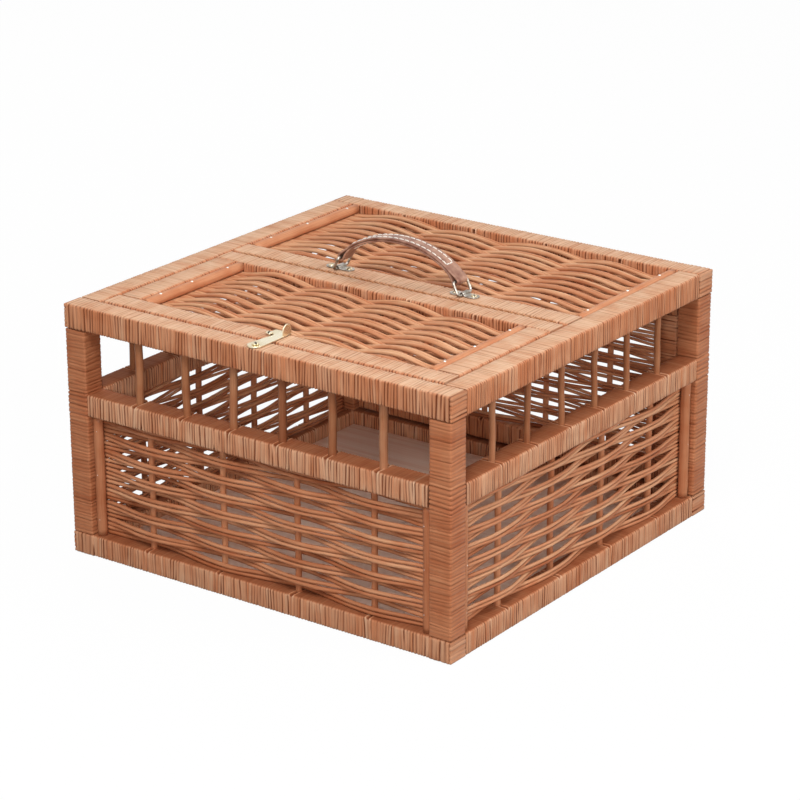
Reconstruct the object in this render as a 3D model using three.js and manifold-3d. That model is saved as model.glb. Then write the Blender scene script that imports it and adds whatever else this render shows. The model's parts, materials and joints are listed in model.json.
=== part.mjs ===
// A square willow pigeon basket: a cane-wrapped frame with woven panels, a row of open windows,
// a hinged lid, a drop door at the back, turning hooks and a leather carrying handle.
// Millimetres, +Z up. The origin is the middle of the underside, and -Y is the front.

import * as THREE from 'three';
import { mergeVertices } from 'three/addons/utils/BufferGeometryUtils.js';
import Module from 'manifold-3d';

const wasm = await Module();
wasm.setup();

// Frame
const WIDTH = 500; // outside, left to right
const DEPTH = 500; // outside, front to back
const HEIGHT = 285; // underside to the top of the rails
const POST = 28; // square section of the posts, and the thickness of every wall
const BOTTOM_RAIL = 25; // height of each ring of rails
const MID_RAIL = 25;
const TOP_RAIL = 28;
const WEAVE_TALL = 137; // woven wall between the bottom and middle rails
const CROSSBAR = 30; // front to back, the bar that carries the handle and the lid's hinge
const LID_REACH = 217; // front to back, the hinged lid
const FLOOR = 9; // plywood thickness
const EDGE = 4; // rounding of a wrapped edge
const FIT = 0.3; // gap between pieces that touch

// Windows
const SPINDLES = 6; // in each window
const SPINDLE_FRONT = 9; // diameters
const SPINDLE_SIDE = 7;

// Weave
const STAKES = 4; // in each woven panel
const STAKE = 7; // diameter
const WEAVER = 4.4; // diameter of one willow rod; rods are woven in pairs
const ROW_PITCH = 8.75; // of the pairs of rods
const FRONT_PITCH = 9.8; // of the pairs in the front wall, whose rods are thicker
const PAIR_SHARE = 0.8; // of their pitch, filled by a pair of rods; the rest is open
const STAKE_END_SHARE = 0.77; // of a stake's pitch, from the outer stake to the frame
const END_ROD = 11; // diameter of the rod that covers the weavers' ends
const END_BITE = 1; // how deep the weavers' ends sit in that rod
const SLACK = 0.05; // between a weaver and the stakes that it passes
const GRIP = 0.4; // how deep the first row is bound to the stakes
const WEAVE_SINK = 9.3; // middle of the top's two panels, below the top of the rails

// Lid and back door
const LID_SEAM = 2; // gap round the lid
const LID_RAIL = 28; // width of the lid's rails
const LID_THICK = 22;
const REST_ROD = 6; // square rod under the lid's front rail
const DOOR_SEAM = 3; // gap round the door
const DOOR_RAIL = 25;
const DOOR_THICK = 22;
const HINGE_SEAM = 3; // gap along a laced edge
const LACING_OVER = 0.4; // how much thicker the cane lacing is than its seam
const LACING_END = 12; // left bare at each end of the seam

// Turning hooks
const HOOK_WIDE = 17; // round the pivot
const HOOK_HEAD = 2.5; // how far the head reaches to the left, past the stud's middle
const HOOK_THICK = 1.5;
const HOOK_NECK = 3.3; // how far the arm reaches to the left of the pivot, beside the stud
const HOOK_TAIL = 14; // past the stud, to the far end
const HOOK_INSET = 9; // lid hook's pivot from the front face
const HOOK_DROP = 10; // door hook's pivot below the top of the rail
const HOOK_SIDE = 9.5; // pivot to the right of the stud
const HOOK_SHIFT = 2.5; // pivot to the right of the basket's middle
const TAB_LONG = 14; // thumb tab, bent up along the right edge at the far end
const TAB_TALL = 13;
const NOTCH_SLACK = 0.8;
const SCREW = 4; // shank diameter
const SCREW_HEAD = 8;
const SCREW_HEAD_THICK = 2;
const SCREW_LONG = 14; // in the wood

// Handle
const HANDLE_SPAN = 165; // between the two rings' pivots
const WIRE = 3; // ring wire diameter
const RING_TALL = 16; // between the lower and upper wire's axes
const RING_CORNER = 3.5; // bend radius at the wire's axis
const RING_LEAN = THREE.MathUtils.degToRad(25); // inward
const STRAP_WIDE = 20;
const STRAP_THICK = 5;
const STRAP_RISE = 31; // crown above the ends
const STRAP_SHOULDER = 8; // how far the strap's curve would run on past its ends
const STRAP_SIDE = 1; // clearance between the strap and a ring's sides
const EYE_SLACK = 0.6; // clearance of the ring's wire in the strap's eye
const PLATE_LONG = 36;
const PLATE_WIDE = 12;
const PLATE_THICK = 1.2;
const PLATE_SCREW_INSET = 6; // screw from the plate's end
const PLATE_SCREW_HEAD = 7;
const PLATE_SCREW_THICK = 1.6;

// Worked out from the sizes above
const HALF_W = WIDTH / 2;
const HALF_D = DEPTH / 2;
const INNER_W = WIDTH - 2 * POST;
const INNER_D = DEPTH - 2 * POST;
const MID_Z = BOTTOM_RAIL + WEAVE_TALL;
const SILL_Z = MID_Z + MID_RAIL;
const TOP_Z = HEIGHT - TOP_RAIL;
const WALL_X = HALF_W - POST / 2;
const WALL_Y = HALF_D - POST / 2;
const LACING = HINGE_SEAM + LACING_OVER;
// Depth of a lacing's axis, which is its hinge's, where it rests on the two rounded edges of the seam
const LACING_SINK = EDGE - Math.sqrt((EDGE + LACING / 2 + FIT) ** 2 - (EDGE + HINGE_SEAM / 2) ** 2);
const LID_FRONT = -HALF_D + POST + LID_SEAM;
const LID_BACK = LID_FRONT + LID_REACH;
const CROSSBAR_FRONT = LID_BACK + HINGE_SEAM;
const HANDLE_Y = CROSSBAR_FRONT + CROSSBAR / 2;

const willow = { color: '#c98d5c', roughness: 0.55, metalness: 0 };
const cane = { color: '#d29c6e', roughness: 0.5, metalness: 0 };
const plywood = { color: '#d9b8a0', roughness: 0.7, metalness: 0 };
const leather = { color: '#7b4a33', roughness: 0.55, metalness: 0 };
const nickel = { color: '#c9c6c0', roughness: 0.25, metalness: 1 };
const brass = { color: '#d8c594', roughness: 0.3, metalness: 1 };

const basket = new THREE.Group();

/** Adds one named piece to a group, with a material of its own. */
function addPiece(parent, name, geometry, finish, place = [0, 0, 0], turn = [0, 0, 0]) {
  const mesh = new THREE.Mesh(geometry, new THREE.MeshStandardMaterial(finish));
  mesh.name = name;
  mesh.position.set(...place);
  mesh.rotation.set(...turn);
  parent.add(mesh);
}

/** Turns a closed geometry into a solid that can be joined and cut. */
function solidOf(geometry) {
  const bare = geometry.clone();
  bare.deleteAttribute('normal');
  bare.deleteAttribute('uv');
  const welded = mergeVertices(bare);
  return new wasm.Manifold(new wasm.Mesh({
    numProp: 3,
    vertProperties: welded.attributes.position.array,
    triVerts: new Uint32Array(welded.index.array),
  }));
}

/** Turns a solid back into a geometry. */
function geometryOf(solid) {
  const mesh = solid.getMesh();
  const geometry = new THREE.BufferGeometry();
  geometry.setAttribute('position', new THREE.BufferAttribute(mesh.vertProperties, 3));
  geometry.setIndex(new THREE.BufferAttribute(mesh.triVerts, 1));
  geometry.computeVertexNormals();
  return geometry;
}

/** Joins several closed geometries into one. */
function joined(geometries) {
  return geometryOf(geometries.map(solidOf).reduce((whole, piece) => whole.add(piece)));
}

/** Cuts several closed geometries out of one. */
function cut(geometry, tools) {
  return geometryOf(tools.map(solidOf).reduce((rest, tool) => rest.subtract(tool), solidOf(geometry)));
}

/** A flat outline in XY given a thickness along +Z, with round stretches in a few steps. */
function thickened(outline, depth, curveSegments = 6) {
  return new THREE.ExtrudeGeometry(outline, { depth, curveSegments, bevelEnabled: false });
}

/** A round bar along Z, centred on the origin. */
function roundBar(diameter, length, sides = 8) {
  return new THREE.CylinderGeometry(diameter / 2, diameter / 2, length, sides)
    .rotateX(Math.PI / 2)
    .rotateZ(Math.PI / sides);
}

/** A wrapped bar with rounded long edges, centred on the origin, running along one axis. */
function wrappedBar(x, y, z, along) {
  const [wide, tall, long] = { x: [z, y, x], y: [x, z, y], z: [x, y, z] }[along];
  const round = Math.min(EDGE, wide / 3, tall / 3);
  const right = wide / 2 - round;
  const top = tall / 2 - round;
  const section = new THREE.Shape();
  section.absarc(right, top, round, 0, Math.PI / 2);
  section.absarc(-right, top, round, Math.PI / 2, Math.PI);
  section.absarc(-right, -top, round, Math.PI, 1.5 * Math.PI);
  section.absarc(right, -top, round, 1.5 * Math.PI, 2 * Math.PI);
  const bar = thickened(section, long, 2).translate(0, 0, -long / 2);
  if (along === 'x') bar.rotateY(Math.PI / 2);
  if (along === 'y') bar.rotateX(-Math.PI / 2);
  return bar;
}

/** One pair of weavers as a band that bends at each stake, passing them on alternate sides. */
function weaverPair(route, tall) {
  const half = WEAVER / 2;
  const outline = new THREE.Shape();
  outline.moveTo(route[0].x, route[0].y + half);
  route.slice(1).forEach((point) => outline.lineTo(point.x, point.y + half));
  route.toReversed().forEach((point) => outline.lineTo(point.x, point.y - half));
  return thickened(outline, tall).translate(0, 0, -tall / 2).rotateX(-Math.PI / 2);
}

/**
 * A woven panel, centred on the origin: weavers run along X, stakes along Y, and +Z is the show side.
 * Rods on the show side cover the weavers' ends.
 */
function wovenPanel(wide, tall, pairPitch = ROW_PITCH) {
  const pitch = wide / (STAKES - 1 + 2 * STAKE_END_SHARE);
  const stakeX = Array.from({ length: STAKES }, (_, i) => (i - (STAKES - 1) / 2) * pitch);
  const rodX = wide / 2 - FIT - END_ROD / 2;
  const rows = Math.round(tall / pairPitch);
  const rowPitch = tall / rows;
  const pieces = [];
  for (const x of [-rodX, rodX]) {
    const rod = roundBar(END_ROD, tall - 2 * FIT).rotateX(Math.PI / 2);
    pieces.push(rod.translate(x, 0, END_ROD / 2 - END_BITE));
  }
  for (const x of stakeX) {
    pieces.push(roundBar(STAKE, tall - 2 * FIT).rotateX(Math.PI / 2).translate(x, 0, 0));
  }
  for (let row = 0; row < rows; row += 1) {
    const offset = (STAKE + WEAVER) / 2 + (row === 0 ? -GRIP : SLACK);
    const route = [new THREE.Vector2(-rodX, -WEAVER / 2)];
    stakeX.forEach((x, i) => {
      route.push(new THREE.Vector2(x, (row + i) % 2 ? offset : -offset));
    });
    route.push(new THREE.Vector2(rodX, -WEAVER / 2));
    const y = (row + 0.5) * rowPitch - tall / 2;
    pieces.push(weaverPair(route, PAIR_SHARE * rowPitch).translate(0, y, 0));
  }
  return joined(pieces);
}

/** A screw along Z: its head stands clear of a hook on the surface at z = 0, its shank goes down. */
function hookScrew() {
  const neck = HOOK_THICK + 2 * FIT;
  const profile = [
    [0, -SCREW_LONG], [SCREW / 2, -SCREW_LONG], [SCREW / 2, neck], [SCREW_HEAD / 2, neck],
    [SCREW_HEAD / 2, neck + SCREW_HEAD_THICK / 2], [SCREW_HEAD / 4, neck + SCREW_HEAD_THICK],
    [0, neck + SCREW_HEAD_THICK],
  ].map(([r, y]) => new THREE.Vector2(r, y));
  return new THREE.LatheGeometry(profile, 12).rotateX(Math.PI / 2);
}

/** The hole that a hook screw's shank needs, along Z, down from z = 0. */
function screwHole() {
  const deep = SCREW_LONG + FIT;
  return roundBar(SCREW + 2 * FIT, 2 * deep, 12);
}

/**
 * A flat turning hook: pivot at the origin, arm along +Y. The arm passes the stud on the right and its
 * head reaches round behind it. The slot between them follows the stud's way round the pivot, and a
 * thumb tab stands along the right edge at the far end.
 */
function turningHook(reach) {
  const half = HOOK_WIDE / 2;
  const end = reach + HOOK_TAIL;
  const head = -HOOK_SIDE - HOOK_HEAD;
  const outline = new THREE.Shape();
  outline.moveTo(half, end);
  outline.lineTo(head, end);
  outline.lineTo(head, reach);
  outline.lineTo(-HOOK_NECK, reach);
  outline.lineTo(-half, 0);
  outline.absarc(0, 0, half, Math.PI, 2 * Math.PI);
  const arm = thickened(outline, HOOK_THICK);

  const round = TAB_LONG / 2;
  const face = new THREE.Shape();
  face.moveTo(-round, 0);
  face.lineTo(round, 0);
  face.absarc(0, Math.max(TAB_TALL - round, HOOK_THICK), round, 0, Math.PI);
  const tab = thickened(face, HOOK_THICK).rotateX(Math.PI / 2).rotateZ(Math.PI / 2);
  tab.translate(half - HOOK_THICK, end - round, 0);

  const radius = Math.hypot(HOOK_SIDE, reach);
  const from = Math.atan2(reach, -HOOK_SIDE);
  const to = from + half / radius;
  const notch = SCREW / 2 + NOTCH_SLACK;
  const way = new THREE.Shape();
  way.absarc(0, 0, radius + notch, from, to);
  way.absarc(0, 0, radius - notch, to, from, true);
  const deep = 4 * HOOK_THICK;
  const slot = thickened(way, deep).translate(0, 0, -deep / 2);
  const slotEnd = roundBar(2 * notch, deep, 12).translate(-HOOK_SIDE, reach, 0);
  const pivot = roundBar(SCREW + 2 * FIT, deep, 12);
  return cut(joined([arm, tab]), [slot, slotEnd, pivot]);
}

/** A ring of round wire: lower side along Y through the origin, standing up along +Z. */
function wireRing() {
  const wide = STRAP_WIDE + 2 * STRAP_SIDE + WIRE;
  const bend = Math.min(RING_CORNER, RING_TALL / 2.2, wide / 2.2);
  const steps = 16;
  const ring = new THREE.TorusGeometry(bend, WIRE / 2, 8, steps).rotateZ(Math.PI / steps);
  const point = ring.attributes.position;
  for (let i = 0; i < point.count; i += 1) {
    const x = point.getX(i);
    const y = point.getY(i);
    point.setX(i, x + Math.sign(x) * (wide / 2 - bend));
    point.setY(i, y + Math.sign(y) * (RING_TALL / 2 - bend));
  }
  return ring.translate(0, RING_TALL / 2, 0).rotateX(Math.PI / 2).rotateZ(Math.PI / 2);
}

/** The ring wire's upper axis, from its pivot, for the ring on the right. */
const RING_TOP_X = -RING_TALL * Math.sin(RING_LEAN);
const RING_TOP_Z = RING_TALL * Math.cos(RING_LEAN);

/** The leather strap: an elliptical arch with an eye at each end, centred between its ends. */
function leatherStrap() {
  const halfSpan = HANDLE_SPAN / 2 + RING_TOP_X;
  const a = halfSpan + STRAP_SHOULDER;
  const start = Math.acos(halfSpan / a);
  const b = STRAP_RISE / (1 - Math.sin(start));
  const drop = b * Math.sin(start);
  const steps = 20;
  const side = (offset) => Array.from({ length: steps + 1 }, (_, i) => {
    const t = start + ((Math.PI - 2 * start) * i) / steps;
    const normal = new THREE.Vector2(Math.cos(t) / a, Math.sin(t) / b).normalize();
    return new THREE.Vector2(a * Math.cos(t), b * Math.sin(t) - drop).addScaledVector(normal, offset);
  });
  const outline = new THREE.Shape([...side(STRAP_THICK / 2), ...side(-STRAP_THICK / 2).reverse()]);
  const arch = thickened(outline, STRAP_WIDE).translate(0, 0, -STRAP_WIDE / 2);
  const bore = WIRE + 2 * EYE_SLACK;
  const ends = [-halfSpan, halfSpan];
  const eyes = ends.map((x) => roundBar(bore + STRAP_THICK, STRAP_WIDE, 16).translate(x, 0, 0));
  const bores = ends.map((x) => roundBar(bore, 2 * STRAP_WIDE, 16).translate(x, 0, 0));
  return cut(joined([arch, ...eyes]), bores).rotateX(Math.PI / 2);
}

/** A plate with a raised bridge over the ring's wire and a screw through each end, on z = 0. */
function bridgePlate() {
  const tunnel = WIRE / 2 + FIT;
  const arch = tunnel + PLATE_THICK;
  const half = PLATE_LONG / 2;
  const outline = new THREE.Shape();
  outline.moveTo(half, 0);
  outline.lineTo(half, PLATE_THICK);
  outline.lineTo(arch, PLATE_THICK);
  outline.absarc(0, tunnel, arch, 0, Math.PI);
  outline.lineTo(-arch, PLATE_THICK);
  outline.lineTo(-half, PLATE_THICK);
  outline.lineTo(-half, 0);
  outline.lineTo(-tunnel, 0);
  outline.absarc(0, tunnel, tunnel, Math.PI, 0, true);
  outline.lineTo(tunnel, 0);
  const plate = thickened(outline, PLATE_WIDE).translate(0, 0, -PLATE_WIDE / 2).rotateX(Math.PI / 2);
  const screwX = half - PLATE_SCREW_INSET;
  const tall = PLATE_THICK + PLATE_SCREW_THICK;
  const head = (x) => roundBar(PLATE_SCREW_HEAD, tall, 12).translate(x, 0, tall / 2);
  return joined([plate, head(-screwX), head(screwX)]);
}

/** Four corner posts, between the bottom and top rails. */
function addPosts() {
  const tall = TOP_Z - BOTTOM_RAIL - 2 * FIT;
  const z = (TOP_Z + BOTTOM_RAIL) / 2;
  for (const [end, y] of [['front', -WALL_Y], ['back', WALL_Y]]) {
    for (const [side, x] of [['left', -WALL_X], ['right', WALL_X]]) {
      addPiece(basket, `post_${end}_${side}`, wrappedBar(POST, POST, tall, 'z'), cane, [x, y, z]);
    }
  }
}

/** Bottom, middle and top rails. Front and back rails run the full width. */
function addRails() {
  const sideLong = INNER_D - 2 * FIT;
  const levels = [['bottom', BOTTOM_RAIL, BOTTOM_RAIL / 2], ['top', TOP_RAIL, HEIGHT - TOP_RAIL / 2]];
  for (const [level, tall, z] of levels) {
    for (const [end, y] of [['front', -WALL_Y], ['back', WALL_Y]]) {
      const rail = wrappedBar(WIDTH, POST, tall, 'x').translate(0, y, z);
      addPiece(basket, `${level}_rail_${end}`, level === 'top' ? cut(rail, [pivotHole(end)]) : rail, cane);
    }
    for (const [side, x] of [['left', -WALL_X], ['right', WALL_X]]) {
      addPiece(basket, `${level}_rail_${side}`, wrappedBar(POST, sideLong, tall, 'y'), cane, [x, 0, z]);
    }
  }
  const midZ = MID_Z + MID_RAIL / 2;
  const midFront = wrappedBar(INNER_W - 2 * FIT, POST, MID_RAIL, 'x');
  addPiece(basket, 'mid_rail_front', midFront, cane, [0, -WALL_Y, midZ]);
  for (const [side, x] of [['left', -WALL_X], ['right', WALL_X]]) {
    addPiece(basket, `mid_rail_${side}`, wrappedBar(POST, sideLong, MID_RAIL, 'y'), cane, [x, 0, midZ]);
  }
  const bar = wrappedBar(INNER_W - 2 * FIT, CROSSBAR, TOP_RAIL, 'x');
  addPiece(basket, 'crossbar', bar, cane, [0, HANDLE_Y, HEIGHT - TOP_RAIL / 2]);
}

/** Upright spindles in the front and side windows. */
function addSpindles() {
  const tall = TOP_Z - SILL_Z - 2 * FIT;
  const z = (TOP_Z + SILL_Z) / 2;
  for (let i = 0; i < SPINDLES; i += 1) {
    const share = (i + 1) / (SPINDLES + 1) - 0.5;
    const x = share * INNER_W;
    const y = share * INNER_D;
    addPiece(basket, `spindle_front_${i + 1}`, roundBar(SPINDLE_FRONT, tall), willow, [x, -WALL_Y, z]);
    addPiece(basket, `spindle_left_${i + 1}`, roundBar(SPINDLE_SIDE, tall), willow, [-WALL_X, y, z]);
    addPiece(basket, `spindle_right_${i + 1}`, roundBar(SPINDLE_SIDE, tall), willow, [WALL_X, y, z]);
  }
}

/** Woven walls below the windows and the fixed woven rear half of the top. */
function addFixedPanels() {
  const upright = Math.PI / 2;
  const z = (BOTTOM_RAIL + MID_Z) / 2;
  const front = wovenPanel(INNER_W, WEAVE_TALL, FRONT_PITCH).rotateX(upright);
  addPiece(basket, 'woven_wall_front', front, willow, [0, -WALL_Y, z]);
  for (const [side, x, turn] of [['left', -WALL_X, -upright], ['right', WALL_X, upright]]) {
    const wall = wovenPanel(INNER_D, WEAVE_TALL).rotateX(upright).rotateZ(turn);
    addPiece(basket, `woven_wall_${side}`, wall, willow, [x, 0, z]);
  }
  const start = CROSSBAR_FRONT + CROSSBAR;
  const end = HALF_D - POST;
  const top = wovenPanel(INNER_W, end - start);
  addPiece(basket, 'woven_top_rear', top, willow, [0, (start + end) / 2, HEIGHT - WEAVE_SINK]);
}

/** Plywood floor, flush with the underside of the bottom rails. */
function addFloor() {
  const board = new THREE.BoxGeometry(INNER_W - 2 * FIT, INNER_D - 2 * FIT, FLOOR);
  addPiece(basket, 'floor_board', board, plywood, [0, 0, FLOOR / 2]);
}

// The lid's stud is in the middle of its rail, and the door's hook is the same as the lid's
const studX = HOOK_SHIFT - HOOK_SIDE;
const lidHook = { x: HOOK_SHIFT, y: -HALF_D + HOOK_INSET, z: HEIGHT };
const lidStudY = LID_FRONT + LID_RAIL / 2;
const HOOK_REACH = lidStudY - lidHook.y;
const doorTop = TOP_Z - DOOR_SEAM;
const doorHook = { x: HOOK_SHIFT, y: HALF_D, z: HEIGHT - HOOK_DROP };
const doorStudZ = doorHook.z - HOOK_REACH;

/** The hole for a hook's pivot screw in the front or back top rail. */
function pivotHole(end) {
  if (end === 'front') return screwHole().translate(lidHook.x, lidHook.y, lidHook.z);
  return screwHole().rotateX(-Math.PI / 2).translate(doorHook.x, doorHook.y, doorHook.z);
}

/** The lid: four wrapped rails round a woven panel, laced to the crossbar along its back edge. */
function addLid() {
  const lid = new THREE.Group();
  basket.add(lid);
  const wide = INNER_W - 2 * LID_SEAM;
  const z = HEIGHT - LID_THICK / 2;
  const frontY = LID_FRONT + LID_RAIL / 2;
  const backY = LID_BACK - LID_RAIL / 2;
  const front = wrappedBar(wide, LID_RAIL, LID_THICK, 'x').translate(0, frontY, z);
  const hole = screwHole().translate(studX, lidStudY, HEIGHT);
  addPiece(lid, 'lid_rail_front', cut(front, [hole]), cane);
  addPiece(lid, 'lid_rail_back', wrappedBar(wide, LID_RAIL, LID_THICK, 'x'), cane, [0, backY, z]);
  const weaveTall = LID_REACH - 2 * LID_RAIL;
  const middleY = (LID_FRONT + LID_BACK) / 2;
  const sideX = (wide - LID_RAIL) / 2;
  for (const [side, x] of [['left', -sideX], ['right', sideX]]) {
    const rail = wrappedBar(LID_RAIL, weaveTall - 2 * FIT, LID_THICK, 'y');
    addPiece(lid, `lid_rail_${side}`, rail, cane, [x, middleY, z]);
  }
  const weave = wovenPanel(wide - 2 * LID_RAIL, weaveTall);
  addPiece(lid, 'woven_lid', weave, willow, [0, middleY, HEIGHT - WEAVE_SINK]);
  addPiece(lid, 'lid_hook_stud', hookScrew(), brass, [studX, lidStudY, HEIGHT]);

  const lacing = roundBar(LACING, wide - 2 * LACING_END).rotateY(Math.PI / 2);
  const lacingY = LID_BACK + HINGE_SEAM / 2;
  addPiece(basket, 'lid_hinge_lacing', lacing, cane, [0, lacingY, HEIGHT - LACING_SINK]);
  const rest = new THREE.BoxGeometry(INNER_W - 2 * FIT, REST_ROD, REST_ROD);
  const restY = -HALF_D + POST + FIT + REST_ROD / 2;
  addPiece(basket, 'lid_rest_rod', rest, willow, [0, restY, HEIGHT - LID_THICK - FIT - REST_ROD / 2]);
}

/** The drop door in the back: one wrapped frame round a woven panel, laced along its lower edge. */
function addDoor() {
  const door = new THREE.Group();
  basket.add(door);
  const wide = INNER_W - 2 * DOOR_SEAM;
  const low = BOTTOM_RAIL + HINGE_SEAM;
  const tall = doorTop - low;
  const y = HALF_D - DOOR_THICK / 2;
  const z = (low + doorTop) / 2;
  const railZ = (tall - DOOR_RAIL) / 2;
  const stileX = (wide - DOOR_RAIL) / 2;
  const stileTall = tall - 2 * DOOR_RAIL + 2 * EDGE;
  const rail = (up) => wrappedBar(wide, DOOR_THICK, DOOR_RAIL, 'x').translate(0, y, z + up);
  const stile = (x) => wrappedBar(DOOR_RAIL, DOOR_THICK, stileTall, 'z').translate(x, y, z);
  const frame = joined([rail(-railZ), rail(railZ), stile(-stileX), stile(stileX)]);
  const hole = screwHole().rotateX(-Math.PI / 2).translate(studX, HALF_D, doorStudZ);
  addPiece(door, 'door_frame', cut(frame, [hole]), cane);
  const weave = wovenPanel(wide - 2 * DOOR_RAIL, tall - 2 * DOOR_RAIL);
  addPiece(door, 'woven_door', weave.rotateX(Math.PI / 2).rotateZ(Math.PI), willow, [0, y, z]);
  const stud = hookScrew().rotateX(-Math.PI / 2);
  addPiece(door, 'door_hook_stud', stud, brass, [studX, HALF_D, doorStudZ]);

  const lacing = roundBar(LACING, wide - 2 * LACING_END).rotateY(Math.PI / 2);
  const lacingZ = BOTTOM_RAIL + HINGE_SEAM / 2;
  addPiece(basket, 'door_hinge_lacing', lacing, cane, [0, HALF_D - LACING_SINK, lacingZ]);
}

/** The lid's and the door's turning hooks, with their pivot screws. */
function addHooks() {
  const { x, y, z } = lidHook;
  addPiece(basket, 'lid_hook', turningHook(HOOK_REACH), brass, [x, y, z + FIT]);
  addPiece(basket, 'lid_hook_screw', hookScrew(), brass, [x, y, z]);
  const back = new THREE.Group();
  back.position.set(doorHook.x, doorHook.y, doorHook.z);
  back.rotation.x = -Math.PI / 2;
  basket.add(back);
  addPiece(back, 'door_hook', turningHook(HOOK_REACH), brass, [0, 0, FIT]);
  addPiece(back, 'door_hook_screw', hookScrew(), brass);
}

/** The carrying handle: a leather strap between two wire rings, each held by a bridge plate. */
function addHandle() {
  const handle = new THREE.Group();
  handle.position.set(0, HANDLE_Y, HEIGHT + FIT);
  basket.add(handle);
  const pivotZ = WIRE / 2;
  const ends = [['left', -HANDLE_SPAN / 2, RING_LEAN], ['right', HANDLE_SPAN / 2, -RING_LEAN]];
  for (const [side, x, lean] of ends) {
    addPiece(handle, `handle_plate_${side}`, bridgePlate(), nickel, [x, 0, 0]);
    addPiece(handle, `handle_ring_${side}`, wireRing(), nickel, [x, 0, pivotZ], [0, lean, 0]);
  }
  addPiece(handle, 'handle_strap', leatherStrap(), leather, [0, 0, pivotZ + RING_TOP_Z]);
}

addPosts();
addRails();
addSpindles();
addFixedPanels();
addFloor();
addLid();
addDoor();
addHooks();
addHandle();

export default basket;
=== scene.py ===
"""The looks of a square willow pigeon basket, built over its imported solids.

Posts and rails are bound turn by turn with split willow, panels are woven rod by rod, and the handle,
hooks, nails and hinge lacings are made at their real sizes. Sizes are in millimetres and become metres
when a mesh is made. The origin is the middle of the underside, +Z is up and -Y is the front.
"""

import json
import logging
from collections.abc import Sequence
from dataclasses import dataclass, field
from enum import Enum

import bpy
import numpy as np
from mathutils import Matrix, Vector
from numpy.typing import NDArray


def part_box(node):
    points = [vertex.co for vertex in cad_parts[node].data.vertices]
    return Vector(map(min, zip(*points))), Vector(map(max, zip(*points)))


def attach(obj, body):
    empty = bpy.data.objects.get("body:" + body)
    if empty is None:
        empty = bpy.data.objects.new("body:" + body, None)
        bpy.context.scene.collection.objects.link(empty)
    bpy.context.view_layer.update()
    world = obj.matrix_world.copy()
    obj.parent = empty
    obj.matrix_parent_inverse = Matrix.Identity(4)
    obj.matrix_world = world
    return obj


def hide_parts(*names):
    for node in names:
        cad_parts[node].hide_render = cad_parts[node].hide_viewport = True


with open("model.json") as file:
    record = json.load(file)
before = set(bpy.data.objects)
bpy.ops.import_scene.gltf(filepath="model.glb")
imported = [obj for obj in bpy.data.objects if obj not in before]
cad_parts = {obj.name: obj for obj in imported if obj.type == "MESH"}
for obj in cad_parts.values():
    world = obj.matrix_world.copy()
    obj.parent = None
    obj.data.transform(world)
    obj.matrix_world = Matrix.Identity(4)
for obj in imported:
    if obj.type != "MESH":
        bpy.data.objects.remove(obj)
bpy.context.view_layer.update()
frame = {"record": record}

Array = NDArray[np.float64]
Numbers = NDArray[np.int64]
Pair = tuple[float, float]
Rng = np.random.Generator
Tree = bpy.types.NodeTree
Socket = bpy.types.NodeSocket

MM = 0.001
X, Y, Z = np.eye(3)
FIT = 0.3  # gap that the solids keep between pieces that touch
EDGE = 2.8  # rounding of a bound edge
STRIP_EDGE = 0.35  # rounding of a strip's edges, as a share of its thickness
STRAND = 900.0  # length of strand from which a rod is cut, which sets where its grain starts
RECORD = frame["record"]
BODY_OF = {node: body for body, nodes in RECORD["behaviour"]["bodies"].items() for node in nodes}

# Longest wavelength and reach of slow changes: bows across the panel, sags through it, girth and tone
TONE_DRIFT = (90.0, 0.08)
STAKE_BOW = (120.0, 0.5)
STAKE_SAG = (90.0, 0.3)
STAKE_GIRTH = (60.0, 0.05)
END_BOW = (100.0, 0.3)
END_SAG = (110.0, 0.25)
END_GIRTH = (45.0, 0.025)
ROD_BOW = (130.0, 0.5)
ROD_SAG = (100.0, 0.35)
ROD_TONE = (160.0, 0.14)
SPINDLE_BOW = (110.0, 0.6)
SPINDLE_GIRTH = (70.0, 0.03)
LACING_TONE = (60.0, 0.4)
REST_GIRTH = (80.0, 0.04)

log = logging.getLogger("pigeon_basket")


class Axis(Enum):
    """Direction that a bar runs in."""

    X = 0
    Y = 1
    Z = 2

    def directions(self) -> tuple[Array, Array, Array]:
        """Gives the unit vector along the bar and the two across it, right-handed."""
        along, right, over = np.roll(np.eye(3), -self.value, axis=0)
        return along, right, over


# Surfaces


@dataclass
class Surface:
    """Points and faces of a closed shape, with what its finish reads at each point.

    tone is the lightness of the strand (0 dark, 1 light), groove is the shade painted on it, 1 at the
    bottom of a groove, and grain is the place on the strand: along it, then two ways across it, in
    millimetres.
    """

    points: Array
    quads: Numbers
    caps: list[Numbers]
    tone: Array
    groove: Array
    grain: Array

    def moved(self, basis: Array, place: Array) -> "Surface":
        """Gives a copy whose local X, Y and Z lie along the rows of basis, with its origin at place."""
        points = self.points @ basis + place
        return Surface(points, self.quads, self.caps, self.tone, self.groove, self.grain)


def joined(parts: Sequence[Surface]) -> Surface:
    """Puts several surfaces into one, as loose shells.

    Args:
        parts: the surfaces, in order.

    Returns:
        One surface whose face indices are shifted by the points that come before them.
    """
    starts = np.cumsum([0] + [len(part.points) for part in parts[:-1]])
    return Surface(
        np.concatenate([part.points for part in parts]),
        np.concatenate([part.quads + start for part, start in zip(parts, starts)]),
        [cap + start for part, start in zip(parts, starts) for cap in part.caps],
        np.concatenate([part.tone for part in parts]),
        np.concatenate([part.groove for part in parts]),
        np.concatenate([part.grain for part in parts]),
    )


def unit(vectors: Array) -> Array:
    """Scales vectors to a length of one."""
    return vectors / np.linalg.norm(vectors, axis=-1, keepdims=True)


def tangents(path: Array, closed: bool) -> Array:
    """Gives a path's unit direction at each point, from the points beside it."""
    if closed:
        return unit(np.roll(path, -1, axis=0) - np.roll(path, 1, axis=0))
    return unit(np.gradient(path, axis=0))


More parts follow.
